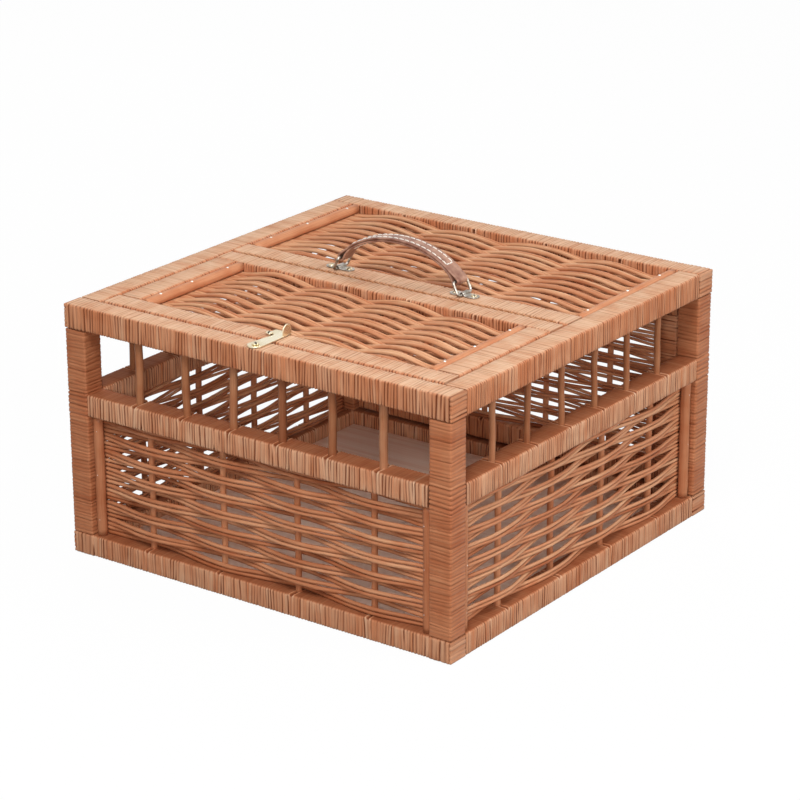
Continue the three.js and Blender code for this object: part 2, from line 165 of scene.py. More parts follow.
def lengths(path: Array) -> Array:
    """Gives the length along a path up to each point."""
    return np.cumsum(np.linalg.norm(np.diff(path, axis=0, prepend=path[:1]), axis=1))


def sweep(
    centres: Array,
    right: Array,
    over: Array,
    across: Array,
    rise: Array,
    slide: Array | float = 0.0,
    closed: bool = False,
    tone: Array | float = 0.5,
    groove: Array | float = 0.0,
    grain: Array | None = None,
) -> Surface:
    """Carries a profile along a path.

    Point (i, j) is centre i, plus right i times across (i, j), plus over i times rise (i, j), plus their
    cross product, which is the path's direction, times slide (i, j). Profiles run counterclockwise seen
    against that direction, so faces point outwards, and an open path gets a flat face at each end.

    Args:
        centres: path points, one per row.
        right: first direction across the path, one or one per row.
        over: second direction across the path, one or one per row.
        across: profile along right, rows by columns.
        rise: profile along over, rows by columns.
        slide: shift along the path.
        closed: whether the last row joins the first.
        tone: strand lightness, broadcast to rows by columns.
        groove: share of painted groove shade, broadcast to rows by columns.
        grain: place on the strand; by default the length along the path, across and rise.

    Returns:
        The surface.
    """
    shape = across.shape
    right = np.broadcast_to(right, centres.shape)
    over = np.broadcast_to(over, centres.shape)
    ahead = np.cross(right, over)
    slid = np.broadcast_to(slide, shape)[..., None]
    points = centres[:, None] + right[:, None] * across[..., None] + over[:, None] * rise[..., None]
    points = points + ahead[:, None] * slid
    index = np.arange(across.size).reshape(shape)
    beside = np.roll(index, -1, axis=1)
    quads = np.stack([index, beside, np.roll(beside, -1, axis=0), np.roll(index, -1, axis=0)], axis=-1)
    if not closed:
        quads = quads[:-1]
    if grain is None:
        length = np.broadcast_to(lengths(centres)[:, None], shape)
        grain = np.stack([length, across, rise], axis=-1)
    return Surface(
        points.reshape(-1, 3),
        quads.reshape(-1, 4),
        [] if closed else [index[0, ::-1], index[-1]],
        np.broadcast_to(tone, shape).ravel(),
        np.broadcast_to(groove, shape).ravel(),
        np.broadcast_to(grain, (*shape, 3)).reshape(-1, 3),
    )


def directions_along(path: Array, over: Array, closed: bool = False) -> tuple[Array, Array]:
    """Finds the two directions across a path.

    The first is the cross product of a chosen direction and the tangent, the second is the tangent's
    cross product with the first, so the two and the tangent are right-handed.

    Args:
        path: points along the path.
        over: a direction that is never along the path.
        closed: whether the last point joins the first.

    Returns:
        The first and second directions, one per point.
    """
    tangent = tangents(path, closed)
    right = unit(np.cross(over, tangent))
    return right, np.cross(tangent, right)


def round_bar(
    path: Array,
    radius: Array | float,
    sides: int,
    over: Array,
    closed: bool = False,
    tone: Array | float = 0.5,
    shift: float = 0.0,
    flank: float = 0.0,
) -> Surface:
    """A round rod along a path: a circle of the given radius in the plane across each point.

    Args:
        path: points along the rod's axis.
        radius: one radius, or one per point.
        sides: points round the rod.
        over: a direction that is never along the path.
        closed: whether the rod is a ring.
        tone: lightness, one for the rod or one per point.
        shift: where on the strand the rod starts, so that no two rods have the same grain.
        flank: painted shade on its two sides, where it lies against its neighbours.

    Returns:
        The surface.
    """
    right, up = directions_along(path, over, closed)
    angle = np.arange(sides) * 2.0 * np.pi / sides
    reach = np.broadcast_to(radius, len(path))[:, None]
    length = np.broadcast_to(lengths(path)[:, None] + shift, (len(path), sides))
    across = reach * np.cos(angle)
    rise = reach * np.sin(angle)
    grain = np.stack([length, across + shift, rise], axis=-1)
    shade = np.broadcast_to(tone, len(path))[:, None]
    # Painted shade on the two sides, where the rod lies against its neighbours
    groove = flank * np.sin(angle) ** 4
    return sweep(path, right, up, across, rise, closed=closed, tone=shade, groove=groove, grain=grain)


def turned(radii: Sequence[float], heights: Sequence[float], sides: int) -> Surface:
    """A turned shape about Z: one circle for each radius and height, with a flat face at each end."""
    angle = np.arange(sides) * 2.0 * np.pi / sides
    reach = np.array(radii)[:, None]
    centres = np.array(heights)[:, None] * Z
    return sweep(centres, X, Y, reach * np.cos(angle), reach * np.sin(angle))


def rounded_section(
    wide: float, tall: float, radius: float, corner: int, flat: int
) -> tuple[Array, Array]:
    """Walks counterclockwise round a rectangle with rounded corners.

    Each corner is a quarter circle about a point that lies the radius inside both sides, and the flats
    between the corners are divided evenly.

    Args:
        wide: full width.
        tall: full height.
        radius: corner radius.
        corner: steps in each corner.
        flat: steps along each flat.

    Returns:
        Points and outward normals, each n by 2.
    """
    angle = np.linspace(0.0, np.pi / 2, corner + 1) + np.arange(4)[:, None] * np.pi / 2
    normal = np.stack([np.cos(angle), np.sin(angle)], axis=-1)
    centre = np.array([[1, 1], [-1, 1], [-1, -1], [1, -1]]) * (np.array([wide, tall]) / 2 - radius)
    point = centre[:, None] + radius * normal
    share = (np.arange(1, flat) / flat)[:, None]
    start = point[:, -1:]
    between = start + share * (np.roll(point[:, :1], -1, axis=0) - start)
    flat_normal = np.repeat(normal[:, -1:], flat - 1, axis=1)
    points = np.concatenate([point, between], axis=1).reshape(-1, 2)
    normals = np.concatenate([normal, flat_normal], axis=1).reshape(-1, 2)
    return points, normals


def strip(
    path: Array, side: Array, half_wide: Array | float, thick: float, closed: bool = False
) -> Surface:
    """A flat strip along a path: a rounded rectangle whose width lies along one fixed direction.

    Args:
        path: points along the strip's middle.
        side: direction of the strip's width.
        half_wide: half the width, one or one per point.
        thick: thickness, along the path's direction crossed with side.
        closed: whether the strip is a loop.

    Returns:
        The surface.
    """
    section, _ = rounded_section(4.0 * thick, thick, STRIP_EDGE * thick, 3, 4)
    half = np.broadcast_to(half_wide, len(path))[:, None]
    across = section[:, 0] / (2.0 * thick) * half
    rise = np.broadcast_to(section[:, 1], across.shape)
    return sweep(path, side, np.cross(tangents(path, closed), side), across, rise, closed=closed)


def flat_plate(outline: Array, thick: float, bevel: float) -> Surface:
    """A flat outline in XY given a thickness along +Z, with its edges drawn in by a small bevel.

    Args:
        outline: points counterclockwise round the outline.
        thick: thickness.
        bevel: how far the two faces are drawn in.

    Returns:
        The surface.
    """
    tangent = np.roll(outline, -1, axis=0) - np.roll(outline, 1, axis=0)
    normal = unit(np.stack([tangent[:, 1], -tangent[:, 0]], axis=1))
    inset = np.array([bevel, 0.0, 0.0, bevel])
    heights = np.array([0.0, bevel, thick - bevel, thick])
    rings = outline[None] - inset[:, None, None] * normal[None]
    return sweep(heights[:, None] * Z, X, Y, rings[..., 0], rings[..., 1])


def arc(radius: float, start: float, stop: float, steps: int) -> Array:
    """Points of a circular arc about the origin, from one angle to another."""
    angle = np.linspace(start, stop, steps + 1)
    return radius * np.stack([np.cos(angle), np.sin(angle)], axis=1)


def wander(rng: Rng, places: Array, wave: float, reach: float) -> Array:
    """A smooth random curve: three sines of falling wavelength and random phase, added together.

    Args:
        rng: where the phases come from.
        places: where the curve is read.
        wave: longest wavelength.
        reach: about the largest value.

    Returns:
        The curve's value at each place.
    """
    waves = wave * np.array([1.0, 0.61, 0.37])
    heights = reach * np.array([0.55, 0.3, 0.15])
    phases = rng.uniform(0.0, 2.0 * np.pi, 3)
    return (heights * np.sin(2.0 * np.pi * places[..., None] / waves + phases)).sum(axis=-1)


def closed_noise(rng: Rng, rows: int, columns: int, passes: int = 4) -> Array:
    """Random rows that are smooth all the way round, with a spread of one.

    Args:
        rng: where the values come from.
        rows: number of rows.
        columns: values in each row; the last lies beside the first.
        passes: times that each value becomes the mean of itself and its two neighbours.

    Returns:
        The rows.
    """
    noise = rng.normal(0.0, 1.0, (rows, columns))
    for _ in range(passes):
        noise = (np.roll(noise, 1, axis=1) + noise + np.roll(noise, -1, axis=1)) / 3.0
    return noise / noise.std()


def box_of(node: str) -> tuple[Array, Array]:
    """Gives a solid's lowest and highest corner at rest, in millimetres."""
    low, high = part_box(node)
    return np.array(low) / MM, np.array(high) / MM


def end_of(low: Array, high: Array, axis: int, side: int, long: float) -> tuple[Array, Array]:
    """Cuts a box down to a length at one of its ends.

    Args:
        low: lowest corner.
        high: highest corner.
        axis: number of the axis to cut along.
        side: 0 for the low end, 1 for the high end.
        long: the length that stays.

    Returns:
        The lowest and highest corner of what stays.
    """
    low, high = low.copy(), high.copy()
    if side:
        low[axis] = high[axis] - long
    else:
        high[axis] = low[axis] + long
    return low, high


def middle_line(low: Array, high: Array, ahead: Array, places: Array) -> Array:
    """Gives the points at some places along a box's middle line, whose direction is an axis."""
    return (low + high) / 2 * (1.0 - ahead) + places[:, None] * ahead


# Finishes


def linear(colour: str) -> tuple[float, float, float, float]:
    """Turns an sRGB hex colour into linear red, green, blue and alpha."""
    value = np.array([int(colour[i : i + 2], 16) for i in (1, 3, 5)]) / 255.0
    value = np.where(value <= 0.04045, value / 12.92, ((value + 0.055) / 1.055) ** 2.4)
    return (*value.tolist(), 1.0)


def add_node(
    tree: Tree,
    kind: str,
    inputs: dict[str | int, object] | None = None,
    out: str | int = 0,
    stops: Sequence[tuple[float, str]] = (),
    **options: object,
) -> Socket | None:
    """Adds one node to a tree.

    Args:
        tree: the node tree.
        kind: the node's type name, less ShaderNode.
        inputs: sockets by name or number, each with a value, or an output to link from.
        out: the output that is wanted, by name or number.
        stops: places and hex colours, for a node with a colour ramp.
        **options: the node's own settings.

    Returns:
        The output, or nothing from a node that ends a tree.
    """
    node = tree.nodes.new("ShaderNode" + kind)
    for option, value in options.items():
        setattr(node, option, value)
    for socket, value in (inputs or {}).items():
        if isinstance(value, Socket):
            tree.links.new(value, node.inputs[socket])
        else:
            node.inputs[socket].default_value = value
    for i, (place, colour) in enumerate(stops):
        elements = node.color_ramp.elements
        element = elements[i] if i < len(elements) else elements.new(place)
        element.position = place
        element.color = linear(colour)
    return node.outputs[out] if node.outputs else None


def new_tree(name: str) -> tuple[bpy.types.Material, Tree]:
    """Makes an empty node material and gives it with its tree."""
    material = bpy.data.materials.new(name)
    material.use_nodes = True
    material.node_tree.nodes.clear()
    return material, material.node_tree


def coat(tree: Tree, inputs: dict[str, object], height: Socket, strength: float, deep: float) -> None:
    """Ends a material's tree with a bump, the shader and the output.

    Args:
        tree: the node tree.
        inputs: the shader's sockets by name, each with a value, or an output to link from.
        height: what the bump follows.
        strength: share of the bump that shows.
        deep: the bump's depth.
    """
    relief = {"Strength": strength, "Distance": deep * MM, "Height": height}
    bump = add_node(tree, "Bump", relief)
    shader = add_node(tree, "BsdfPrincipled", {**inputs, "Normal": bump})
    add_node(tree, "OutputMaterial", {"Surface": shader})


@dataclass(frozen=True)
class Finish:
    """What every finish has: its real material's name, and a material that is made once."""

    name: str

    def material(self) -> bpy.types.Material:
        """Gives the finish's material, made the first time that it is asked for."""
        material = bpy.data.materials.get(self.name)
        if material is None:
            material, tree = new_tree(self.name)
            self.dress(tree)
        return material

    def dress(self, tree: Tree) -> None:
        """Fills the material's tree."""
        raise NotImplementedError


@dataclass(frozen=True)
class Willow(Finish):
    """Buff willow, boiled in its bark, peeled and left bare.

    The tannin gives an orange tan that differs from strand to strand, fibres run along each strand, and
    the skin has a satin sheen that goes white where it is seen at a low angle. Shade is painted into the
    grooves where strands meet.
    """

    dark: str
    mid: str
    light: str
    # colour of the shade painted into the grooves
    groove: str
    roughness: float
    fibre: float = 0.8  # width of a fibre streak, drawn coarser than real so that it shows
    fibre_long: float = 45.0
    fibre_tint: str = "#d2a98c"
    streaks: float = 0.45  # strength of the streaks
    blotch: float = 26.0  # size of stains
    blotch_tint: str = "#e6c2a8"
    blotches: float = 0.4  # strength of the stains
    groove_roughness: float = 0.9
    ior: float = 1.42
    gloss: float = 0.25  # specular level of the bare skin

    def dress(self, tree: Tree) -> None:
        """Fills the tree: strand tone, fibre streaks, stains, and painted shade in the grooves."""
        tone = add_node(tree, "Attribute", out="Fac", attribute_name="tone")
        groove = add_node(tree, "Attribute", out="Fac", attribute_name="groove")
        grain = add_node(tree, "Attribute", out="Vector", attribute_name="grain")
        place = add_node(tree, "TexCoord", out="Object")
        fine = (1.0 / self.fibre_long, 1.0 / self.fibre, 1.0 / self.fibre)
        laid = add_node(tree, "Mapping", {"Vector": grain, "Scale": fine})
        streak = add_node(tree, "TexNoise", {"Vector": laid, "Scale": 1.0, "Detail": 3.0}, "Fac")
        broad = {"Vector": place, "Scale": 1.0 / (self.blotch * MM), "Detail": 2.0}
        stain_and_shade = add_node(tree, "TexNoise", broad, "Fac")
        tones = [(0.0, self.dark), (0.5, self.mid), (1.0, self.light)]
        streak_tones = [(0.3, self.fibre_tint), (0.6, "#ffffff")]
        stain_tones = [(0.35, self.blotch_tint), (0.58, "#ffffff")]
        colour = add_node(tree, "ValToRGB", {0: tone}, stops=tones)
        for share, amount, tints in (
            (self.streaks, streak, streak_tones),
            (self.blotches, stain_and_shade, stain_tones),
        ):
            tint = add_node(tree, "ValToRGB", {0: amount}, stops=tints)
            mixed = {0: share, 6: colour, 7: tint}
            colour = add_node(tree, "Mix", mixed, 2, data_type="RGBA", blend_type="MULTIPLY")
        # Painted shade: the groove attribute mixes in the dark groove colour
        mixed = {0: groove, 6: colour, 7: linear(self.groove)}
        colour = add_node(tree, "Mix", mixed, 2, data_type="RGBA")
        span = {"Value": streak, 3: self.roughness - 0.07, 4: self.roughness + 0.1}
        skin = add_node(tree, "MapRange", span)
        rough = add_node(tree, "Mix", {0: groove, 2: skin, 3: self.groove_roughness})
        bare = {"IOR": self.ior, "Specular IOR Level": self.gloss}
        coat(tree, {"Base Color": colour, "Roughness": rough, **bare}, streak, strength=0.3, deep=0.12)


@dataclass(frozen=True)
class Plywood(Finish):
    """Thin poplar plywood: a pinkish beige face, rotary cut, with soft grain along the board."""

    pale: str
    warm: str
    roughness: float = 0.62
    grain_wide: float = 6.0
    grain_long: float = 160.0

    def dress(self, tree: Tree) -> None:
        """Fills the tree: stretched noise for the grain, in the board's own place."""
        place = add_node(tree, "TexCoord", out="Object")
        across = 1.0 / (self.grain_wide * MM)
        scale = (1.0 / (self.grain_long * MM), across, across)
        laid = add_node(tree, "Mapping", {"Vector": place, "Scale": scale})
        noise = {"Vector": laid, "Scale": 1.0, "Detail": 5.0, "Distortion": 0.6}
        grain = add_node(tree, "TexNoise", noise, "Fac")
        colour = add_node(tree, "ValToRGB", {0: grain}, stops=[(0.3, self.warm), (0.68, self.pale)])
        span = {"Value": grain, 3: self.roughness + 0.08, 4: self.roughness - 0.06}
        rough = add_node(tree, "MapRange", span)
        coat(tree, {"Base Color": colour, "Roughness": rough}, grain, strength=0.25, deep=0.1)


@dataclass(frozen=True)
class Leather(Finish):
    """Vegetable-tanned bridle leather: waxed brown, fine pores, paler and greyer where hands wear it."""

    deep: str
    worn: str
    roughness: float = 0.42
    pore: float = 0.9
    patch: float = 14.0

    def dress(self, tree: Tree) -> None:
        """Fills the tree: cell noise for the pores, broad noise for the wear."""
        place = add_node(tree, "TexCoord", out="Object")
        cells = {"Vector": place, "Scale": 1.0 / (self.pore * MM)}
        pores = add_node(tree, "TexVoronoi", cells, "Distance", feature="F1")
        noise = {"Vector": place, "Scale": 1.0 / (self.patch * MM), "Detail": 4.0}
        wear = add_node(tree, "TexNoise", noise, "Fac")
        colour = add_node(tree, "ValToRGB", {0: wear}, stops=[(0.35, self.deep), (0.7, self.worn)])
        span = {"Value": wear, 3: self.roughness - 0.08, 4: self.roughness + 0.1}
        rough = add_node(tree, "MapRange", span)
        coat(tree, {"Base Color": colour, "Roughness": rough}, pores, strength=0.3, deep=0.15)


@dataclass(frozen=True)
class Thread(Finish):
    """Waxed linen thread: off-white, laid in a slight twist."""

    pale: str
    shade: str
    twist: float = 1.1
    roughness: float = 0.7

    def dress(self, tree: Tree) -> None:
        """Fills the tree: fine bands across the thread for its twist."""
        grain = add_node(tree, "Attribute", out="Vector", attribute_name="grain")
        waves = {"Vector": grain, "Scale": 1.0 / self.twist, "Distortion": 1.0}
        bands = add_node(tree, "TexWave", waves, "Fac", bands_direction="DIAGONAL")
        colour = add_node(tree, "ValToRGB", {0: bands}, stops=[(0.1, self.shade), (0.7, self.pale)])
        coat(tree, {"Base Color": colour, "Roughness": self.roughness}, bands, strength=0.4, deep=0.1)


@dataclass(frozen=True)
class Metal(Finish):
    """Plated or solid metal, tumbled bright: fine scratches and a little tarnish in broad patches."""

    bright: str
    tarnish: str
    roughness: float
    scratch: float = 0.5
    scratch_stretch: float = 9.0  # length of a scratch over its width
    patch: float = 7.0
    slot_shade: str = "#2b211a"  # painted shade at the bottom of slots

    def dress(self, tree: Tree) -> None:
        """Fills the tree: stretched noise for scratches, broad noise for tarnish, painted shade in slots.
        """
        place = add_node(tree, "TexCoord", out="Object")
        slot = add_node(tree, "Attribute", out="Fac", attribute_name="groove")
        across = 1.0 / (self.scratch * MM)
        scale = (across, 1.0 / (self.scratch_stretch * self.scratch * MM), across)
        laid = add_node(tree, "Mapping", {"Vector": place, "Scale": scale})
        fine = {"Vector": laid, "Scale": 1.0, "Detail": 2.0}
        scratches = add_node(tree, "TexNoise", fine, "Fac")
        broad = {"Vector": place, "Scale": 1.0 / (self.patch * MM), "Detail": 3.0}
        stain_and_shade = add_node(tree, "TexNoise", broad, "Fac")
        tones = [(0.35, self.tarnish), (0.6, self.bright)]
        clean = add_node(tree, "ValToRGB", {0: stain_and_shade}, stops=tones)
        # Painted shade in the slots
        mixed = {0: slot, 6: clean, 7: linear(self.slot_shade)}
        colour = add_node(tree, "Mix", mixed, 2, data_type="RGBA")
        span = {"Value": scratches, 3: self.roughness - 0.06, 4: self.roughness + 0.12}
        rough = add_node(tree, "MapRange", span)
        inputs = {"Base Color": colour, "Metallic": 1.0, "Roughness": rough}
        coat(tree, inputs, scratches, strength=0.12, deep=0.05)


# Split willow is flatter and paler than round rods, and catches more of the light
# The fourth colour of each willow is the shade painted into its grooves
BINDING = Willow("split_willow_binding", "#a86440", "#cc8a62", "#e2ba99", "#6c351b", 0.42)
ROD = Willow("peeled_buff_willow_rod", "#a8633e", "#d0916a", "#e4b38b", "#6c351b", 0.42)
SPINDLE = Willow("peeled_brown_willow_rod", "#8c5638", "#ac7450", "#c69270", "#7c421e", 0.45)
LACING = Willow("willow_hinge_lacing", "#b8835c", "#d09c72", "#e0b48e", "#8a5530", 0.5, fibre=0.5)
BOARD = Plywood("poplar_plywood", "#f9dfcc", "#edc8b0")
STRAP = Leather("waxed_bridle_leather", "#7a4a38", "#c0967f", 0.42)
THREAD = Thread("waxed_linen_thread", "#fbf6ee", "#e2d7c8")
NICKEL = Metal("nickel_plated_steel", "#c2bcb4", "#948c80", 0.28)
BRASS = Metal("polished_pale_brass", "#efe4c8", "#dccba6", 0.26, patch=25.0)
NAIL = Metal("bright_steel_nail", "#f2efe9", "#d5cdc2", 0.4)


# Pieces


@dataclass
class Piece:
    """One finished object: its surface, its finish and the solids that it stands for.

    A piece that stands for no solid names the body that it moves with and its slot.
    """

    name: str
    surface: Surface
    finish: Finish
    stands_for: tuple[str, ...] = ()
    body: str = ""
    slot: str = ""

    def mesh(self) -> bpy.types.Mesh:
        """Makes the mesh, in metres, smooth on its swept faces and flat on its end faces.

        Returns:
            The mesh, with tone, groove and grain as point attributes.
        """
        surface = self.surface
        mesh = bpy.data.meshes.new(self.name)
        corners = [surface.quads.ravel(), *surface.caps]
        sizes = np.concatenate([np.full(len(surface.quads), 4), [len(cap) for cap in surface.caps]])
        starts = np.concatenate([[0], np.cumsum(sizes)[:-1]])
        mesh.vertices.add(len(surface.points))
        mesh.vertices.foreach_set("co", (surface.points * MM).ravel())
        mesh.loops.add(int(sizes.sum()))
        mesh.loops.foreach_set("vertex_index", np.concatenate(corners).astype(np.int32))
        mesh.polygons.add(len(sizes))
        mesh.polygons.foreach_set("loop_start", starts.astype(np.int32))
        mesh.polygons.foreach_set("use_smooth", np.arange(len(sizes)) < len(surface.quads))
        for name, values in (("tone", surface.tone), ("groove", surface.groove)):
            mesh.attributes.new(name, "FLOAT", "POINT").data.foreach_set("value", values)
        grain = mesh.attributes.new("grain", "FLOAT_VECTOR", "POINT")
        grain.data.foreach_set("vector", surface.grain.ravel())
        mesh.update(calc_edges=True)
        mesh.validate()
        return mesh

    def place(self) -> None:
        """Adds the object to the scene, dressed, riding on its body and standing for its solids."""
        thing = bpy.data.objects.new(self.name, self.mesh())
        thing.data.materials.append(self.finish.material())
        bpy.context.scene.collection.objects.link(thing)
        lead = self.stands_for[0] if self.stands_for else ""
        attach(thing, self.body or BODY_OF[lead])
        if self.stands_for:
            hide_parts(*self.stands_for)
        log.info("%s: %d faces, %s", self.name, len(thing.data.polygons), self.finish.name)


# Bound bars


@dataclass(frozen=True)
class Parting:
    """A place where a rod enters a bound bar, and the turns spread round it."""

    place: float  # along the bar
    side: Array  # outward, of the face that the rod enters
    radius: float


@dataclass
class BoundBar:
    """A square bar bound with split willow, one turn beside the next.

    Six rings make a turn, two at its edges, two on its shoulders and two on its crown. Bands are
    stretches of wider, rounder turns, where a lashing or the end of a rail stands a little proud.
    """

    low: Array
    high: Array
    along: Axis
    seed: int
    turn: float = 3.7  # width of one turn
    depth: float = 0.9  # of the grooves between turns
    loose: float = 0.45  # share of that depth that a closed edge loses
    dark: float = 0.3  # painted shade of the tightest edge, as a share of the most open one
    rare: float = 2.5  # the higher it is, the fewer edges are wide open
    ragged: float = 0.7  # how much an edge opens and closes on its way round
    lean: float = 0.8  # how far a turn may slant
    lean_waves: Pair = (70.0, 55.0)  # wavelengths of the slant across its two ways
    sway: float = 0.25  # how far an edge bends on its way round
    tilt: float = 0.12  # how far one edge of a turn may lie lower than the other
    tone: float = 0.5  # mean lightness
    tone_spread: float = 0.07  # from turn to turn
    uneven: float = 0.2  # of a turn's width, how far its edge may be off
    calm: float = 14.0  # length at each end in which slants fade out
    partings: list[Parting] = field(default_factory=list)
    parting_reach: float = 7.0  # how far a parting runs down the sides of its face
    parting_fall: float = 1.5  # how sharply it fades on the way
    push: float = 0.35  # share of a rod's radius by which turns give way to it
    push_fade: float = 1.6  # radii along the bar in which that fades
    slit: float = 0.7  # half width of the slit where turns part
    slit_deep: float = 1.8
    lip: float = 1.9  # from the slit to the raised turns beside it
    lip_wide: float = 0.9
    lip_proud: float = 0.3
    lip_pale: float = 0.4
    bands: list[Pair] = field(default_factory=list)
    band_turn: float = 4.7
    band_depth: float = 1.1
    band_dark: float = 0.7
    band_proud: float = 0.4
    seam: float = 0.45  # half width of the seam at a band's limit
    seam_deep: float = 0.8
    stain_and_shade: float = 1.0  # how near the painted shade in the deepest groove comes to the groove's colour
    flat_share: float = 0.6  # how much flatter turns lie on the upper face
    upper_face_lighting: float = 0.0  # paler there: painted light; below zero, painted shade
    upper_face_shade: float = 0.0  # share of that face painted as dark as a groove, for the shade on it
    grain_step: float = 11.0  # from one turn to the next, so that their grain differs
    share: tuple[float, ...] = (0.08, 0.22, 0.4, 0.6, 0.78, 0.92)  # where a turn's rings lie
    shadow: tuple[float, ...] = (1.0, 0.3, 0.0, 0.0, 0.3, 1.0)  # how dark they are beside a groove

    def banded(self, places: Array) -> NDArray[np.bool_]:
        """Tells which places lie in a band."""
        inside = [(places > start) & (places < stop) for start, stop in self.bands]
        return np.any([np.zeros(len(places), bool), *inside], axis=0)

    def edges(self, rng: Rng, start: float, stop: float) -> Array:
        """Divides each stretch between partings and bands into whole turns, then makes them uneven.

        Args:
            rng: where the unevenness comes from.
            start: first edge.
            stop: last edge.

        Returns:
            The edges of all turns, in order.
        """
        marks = {start, stop, *(parting.place for parting in self.partings)}
        marks = np.array(sorted(marks.union(*self.bands)))
        wide = np.where(self.banded((marks[:-1] + marks[1:]) / 2), self.band_turn, self.turn)
        stretches = []
        for near, far, turn in zip(marks[:-1], marks[1:], wide):
            count = max(1, round((far - near) / turn))
            stretch = np.linspace(near, far, count + 1)[:-1]
            stretch[1:] += rng.uniform(-self.uneven, self.uneven, count - 1) * (far - near) / count
            stretches.append(stretch)
        return np.concatenate([*stretches, [stop]])

    def relief(self, rng: Rng, edges: Array, columns: int) -> tuple[Array, Array]:
        """Works out how far each point is drawn in and how much shade is painted on it.

        Across a turn the surface falls as an ellipse does, as one less the square root of one less the
        squared distance from the crown. Each edge is open by its own share, which changes on its way
        round and sets how deep it is and how much shade is painted in it, and each turn is tilted a
        little, as if one edge lay over its neighbour.

        Args:
            rng: where the openness and the tilt come from.
            edges: of the turns.
            columns: points round the bar.

        Returns:
            Depth in millimetres and painted shade, rings by columns.
        """
        turns = len(edges) - 1
        across = 2.0 * np.array(self.share)[:, None] - 1.0
        fall = 1.0 - np.sqrt(1.0 - across**2)
        fall = fall / fall[0]
        banded = self.banded((edges[:-1] + edges[1:]) / 2)
        openness = self.dark + (1.0 - self.dark) * rng.uniform(0.0, 1.0, turns + 1) ** self.rare
        for side in (openness[:-1], openness[1:]):
            side[banded] = np.maximum(side[banded], self.band_dark)
        openness[np.isin(edges, np.array(self.bands))] = 1.0
        ragged = 1.0 + self.ragged * closed_noise(rng, turns + 1, columns)
        gaps = np.clip(openness[:, None] * ragged, 0.0, 1.0)
        beside = np.where(across < 0, gaps[:-1, None], gaps[1:, None])
        depth = np.where(banded, self.band_depth, self.depth)[:, None, None]
        depth = depth * (1.0 - self.loose + self.loose * beside)
        lower = np.where(banded, 0.0, self.band_proud if self.bands else 0.0)[:, None, None]
        lean = rng.choice([-1.0, 1.0], (turns, 1, 1))
        tilt = self.tilt * np.abs(rng.normal(0.0, 1.0, (turns, 1, 1))) * (1.0 + lean * across)
        sink = depth * fall + lower + tilt
        # Painted groove shade, strongest at a turn's edges and where an edge is open
        groove = self.stain_and_shade * beside * np.array(self.shadow)[:, None]
        return sink.reshape(-1, columns), groove.reshape(-1, columns)

    def surface(self) -> Surface:
        """Carries a rounded square along the bar, drawn in at the edges of each turn.

        Rings slant by a smooth random share of the place on the section. At a rod they slide away by
        part of its radius, fading with a decaying exponential along the bar and with the distance from
        the face that the rod enters. The upper face counts as flat where its normal is within 37 degrees
        of straight up.

        Returns:
            The surface.
        """
        rng = np.random.default_rng(self.seed)
        k = self.along.value
        sides = [(k + 1) % 3, (k + 2) % 3]
        ahead, right, over = self.along.directions()
        size = (self.high - self.low)[sides]
        section, normal = rounded_section(*size, min(EDGE, *(size / 3)), 3, 3)
        edges = self.edges(rng, float(self.low[k]), float(self.high[k]))
        sink, groove = self.relief(rng, edges, len(section))
        each = np.repeat(np.arange(len(edges) - 1), len(self.share))
        within = np.tile(self.share, len(edges) - 1)
        place = edges[each] + (edges[each + 1] - edges[each]) * within
        lightness = self.tone + rng.normal(0.0, self.tone_spread, len(edges) - 1)[each]
        lightness = lightness + wander(rng, place, *TONE_DRIFT)

        fade = np.clip(np.minimum(place - place[0], place[-1] - place) / self.calm, 0.0, 1.0)
        slant = section / (size / 2)
        slide = np.zeros((len(place), len(section)))
        for wave, share in zip(self.lean_waves, slant.T):
            slide = slide + (fade * wander(rng, place, wave, self.lean))[:, None] * share
        bend = self.sway * closed_noise(rng, len(edges), len(section))
        bent = bend[each] + (bend[each + 1] - bend[each]) * within[:, None]
        slide = slide + fade[:, None] * bent
        # Upper face: painted paler on the top rails for light from above, darker on low rails for shade
        flat = np.clip(5.0 * normal @ Z[sides] - 4.0, 0.0, 1.0)
        sunk = sink * (1.0 - self.flat_share * flat)
        painted_upper_shade = self.upper_face_shade * flat
        shade = groove * (1.0 - self.flat_share * flat) * (1.0 - painted_upper_shade) + painted_upper_shade
        tone = lightness[:, None] + self.upper_face_lighting * flat
        for limit in set().union(*self.bands):
            sunk = sunk + self.seam_deep * np.exp(-(((place - limit) / self.seam) ** 2))[:, None]
        for parting in self.partings:
            face = parting.side[sides]
            below = np.abs(face) @ size / 2 - section @ face
            weight = np.clip(1.0 - below / self.parting_reach, 0.0, 1.0) ** self.parting_fall
            away = place - parting.place
            fading = np.exp(-np.abs(away) / (self.push_fade * parting.radius))
            push = self.push * np.sign(away) * parting.radius * fading
            slide = slide + push[:, None] * weight
            slit = np.exp(-((away / self.slit) ** 2))[:, None] * weight
            lips = np.exp(-(((np.abs(away) - self.lip) / self.lip_wide) ** 2))[:, None] * weight
            sunk = sunk + self.slit_deep * slit - self.lip_proud * lips
            # Painted shade in the slit; the raised lips lose their groove shade
            shade = np.maximum(shade * (1.0 - lips), slit)
            tone = tone + self.lip_pale * lips

        profile = section - normal * sunk[..., None]
        round_turn = 0.7 * section.sum(axis=1)  # along a diagonal of the section
        grain = np.broadcast_arrays(round_turn, place[:, None], each[:, None] * self.grain_step)
        return sweep(
            middle_line(self.low, self.high, ahead, place),
            right,
            over,
            profile[..., 0],
            profile[..., 1],
            slide=slide,
            tone=np.clip(tone, 0.0, 1.0),
            groove=shade,
            grain=np.stack(grain, axis=-1),
        )


def bound_bar(node: str, along: Axis, seed: int, **settings: object) -> Piece:
    """Makes one bound bar on its solid."""
    bar = BoundBar(*box_of(node), along, seed, **settings)
    return Piece("bound_" + node, bar.surface(), BINDING, (node,))


# Woven panels


